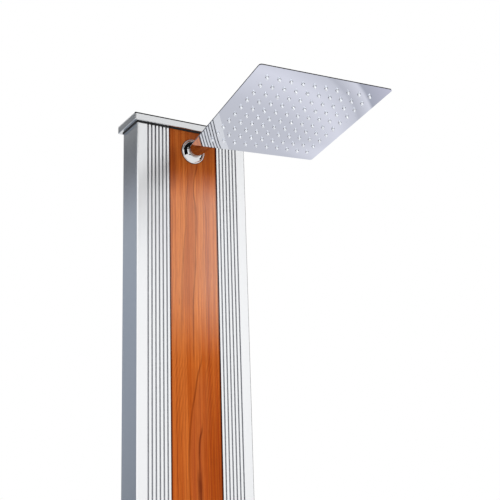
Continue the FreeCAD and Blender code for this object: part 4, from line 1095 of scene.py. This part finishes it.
# %% Cards
BLACK = (0.0, 0.0, 0.0)
CARD_BLACK = (0.01, 0.01, 0.01)
SIDE_HEIGHT = 5.0
SIDE_PLACE = (-1.3, 3.0, SIDE_HEIGHT / 2)
SIDE_HALF = 2.4
SIDE_SHADES = ((0.20, (0.19, 0.215, 0.25)), (0.33, (0.25, 0.28, 0.33)), (0.48, (0.285, 0.32, 0.38)),
               (0.58, (0.325, 0.36, 0.415)), (0.625, (0.19, 0.20, 0.23)), (0.65, (0.05, 0.055, 0.06)),
               (0.682, (0.03, 0.03, 0.035)), (0.694, (0.37, 0.38, 0.39)))
# Centre and two half edges of each black card
DARK_CARDS = {
    "flange_card": ((-0.1, -0.125, 2.2), (0.0, 0.075, 0.0), (0.0, 0.0, 0.095)),
    "roof_card": ((-0.65, -0.2, 3.3), (2.35, 0.0, 0.0), (0.0, 1.5, 0.0)),
    "front_roof_card": ((-0.4, -2.2, 3.3), (0.8, 0.0, 0.0), (0.0, 0.35, 0.0)),
    "right_card": ((2.9, 1.2, 2.3), (0.0, 2.3, 0.0), (0.0, 0.0, 1.3)),
}
DISC_PLACE = (1.55, 2.786, 0.004)
DISC_REACH = 2.4
DISC_HOLE = 0.01
DISC_RINGS = ((0.20, (0.60, 0.61, 0.63)), (0.42, (0.655, 0.665, 0.72)), (0.52, (0.83, 0.835, 0.905)),
              (0.579, (0.68, 0.69, 0.75)), (0.587, (0.57, 0.58, 0.635)), (0.622, (0.80, 0.805, 0.87)),
              (0.629, (0.46, 0.475, 0.54)), (0.68, (0.62, 0.615, 0.71)), (0.85, (1.0, 1.0, 1.0)))


def reflected_only(sheet):
    """Hide a card from everything but reflections."""
    sheet.visible_camera = False
    sheet.visible_diffuse = False
    sheet.visible_shadow = False


def shaded(flow, shader, share, stops):
    """A glow whose colour goes through stops as a share goes from 0 to 1."""
    glow = flow.node("ShaderNodeValToRGB", {"stops": stops}, {0: share})
    feed(flow, shader, Emission_Color=glow, Emission_Strength=1.0)


def side_card():
    """A card at the back on the left: palest in the middle, with a dark band above it."""
    points = flat_points(SIDE_PLACE, (0.0, SIDE_HALF, 0.0), (0.0, 0.0, SIDE_HEIGHT / 2))
    sheet, flow, shader = stage_sheet("side_card", points, BLACK)
    shaded(flow, shader, coordinate(flow, "Z") / SIDE_HEIGHT, SIDE_SHADES)
    reflected_only(sheet)


def dark_card(name, centre, across, along):
    """A flat black card that only reflections show."""
    sheet, _, _ = stage_sheet(name, flat_points(centre, across, along), CARD_BLACK)
    reflected_only(sheet)


def floor_disc():
    """A round card on the floor whose rings brighten outwards and stop short: points (r cos a, r sin a)."""
    reaches = np.linspace(DISC_HOLE, DISC_REACH, 4)
    turns = np.linspace(0.0, 2.0 * np.pi, 97)
    reach, angle = np.meshgrid(reaches, turns, indexing="ij")
    points = np.stack([reach * np.cos(angle), reach * np.sin(angle), 0.0 * angle], axis=-1)
    sheet, flow, shader = stage_sheet("floor_disc", points, BLACK)
    sheet.location = DISC_PLACE
    sockets = {0: object_place(flow)}
    distance = flow.node("ShaderNodeVectorMath", {"operation": "LENGTH"}, sockets, VALUE_OUT)
    shaded(flow, shader, distance / DISC_REACH, DISC_RINGS)
    reflected_only(sheet)


side_card()
for card_name, card_edges in DARK_CARDS.items():
    dark_card(card_name, *card_edges)
floor_disc()
print("cards for reflections: side_card, floor_disc and", list(DARK_CARDS))

# %% Lamps
def lamp(name, place, target, width, height, radiance):
    """A rectangular soft lamp that faces a target. Its power is pi times area times radiance."""
    data = bpy.data.lights.new(name, "AREA")
    data.shape = "RECTANGLE"
    data.size = width
    data.size_y = height
    data.energy = np.pi * width * height * radiance
    light = bpy.data.objects.new(name, data)
    bpy.context.scene.collection.objects.link(light)
    light.location = place
    light.rotation_euler = (Vector(target) - Vector(place)).to_track_quat("-Z", "Y").to_euler()
    light.visible_glossy = False
    print("lamp:", name)


lamp("strip_softbox", (1.6, -2.2, 2.5), (0.0, 0.0, 2.1), width=1.1, height=0.55, radiance=1.5)
lamp("fill", (-0.7, -2.4, 1.2), (0.0, 0.0, 1.9), width=1.8, height=1.8, radiance=3.9)

# %% [markdown]
# ## Finish
# The colour view is Standard, so a colour renders as it is written.

# %% Finish
bpy.context.scene.view_settings.view_transform = "Standard"
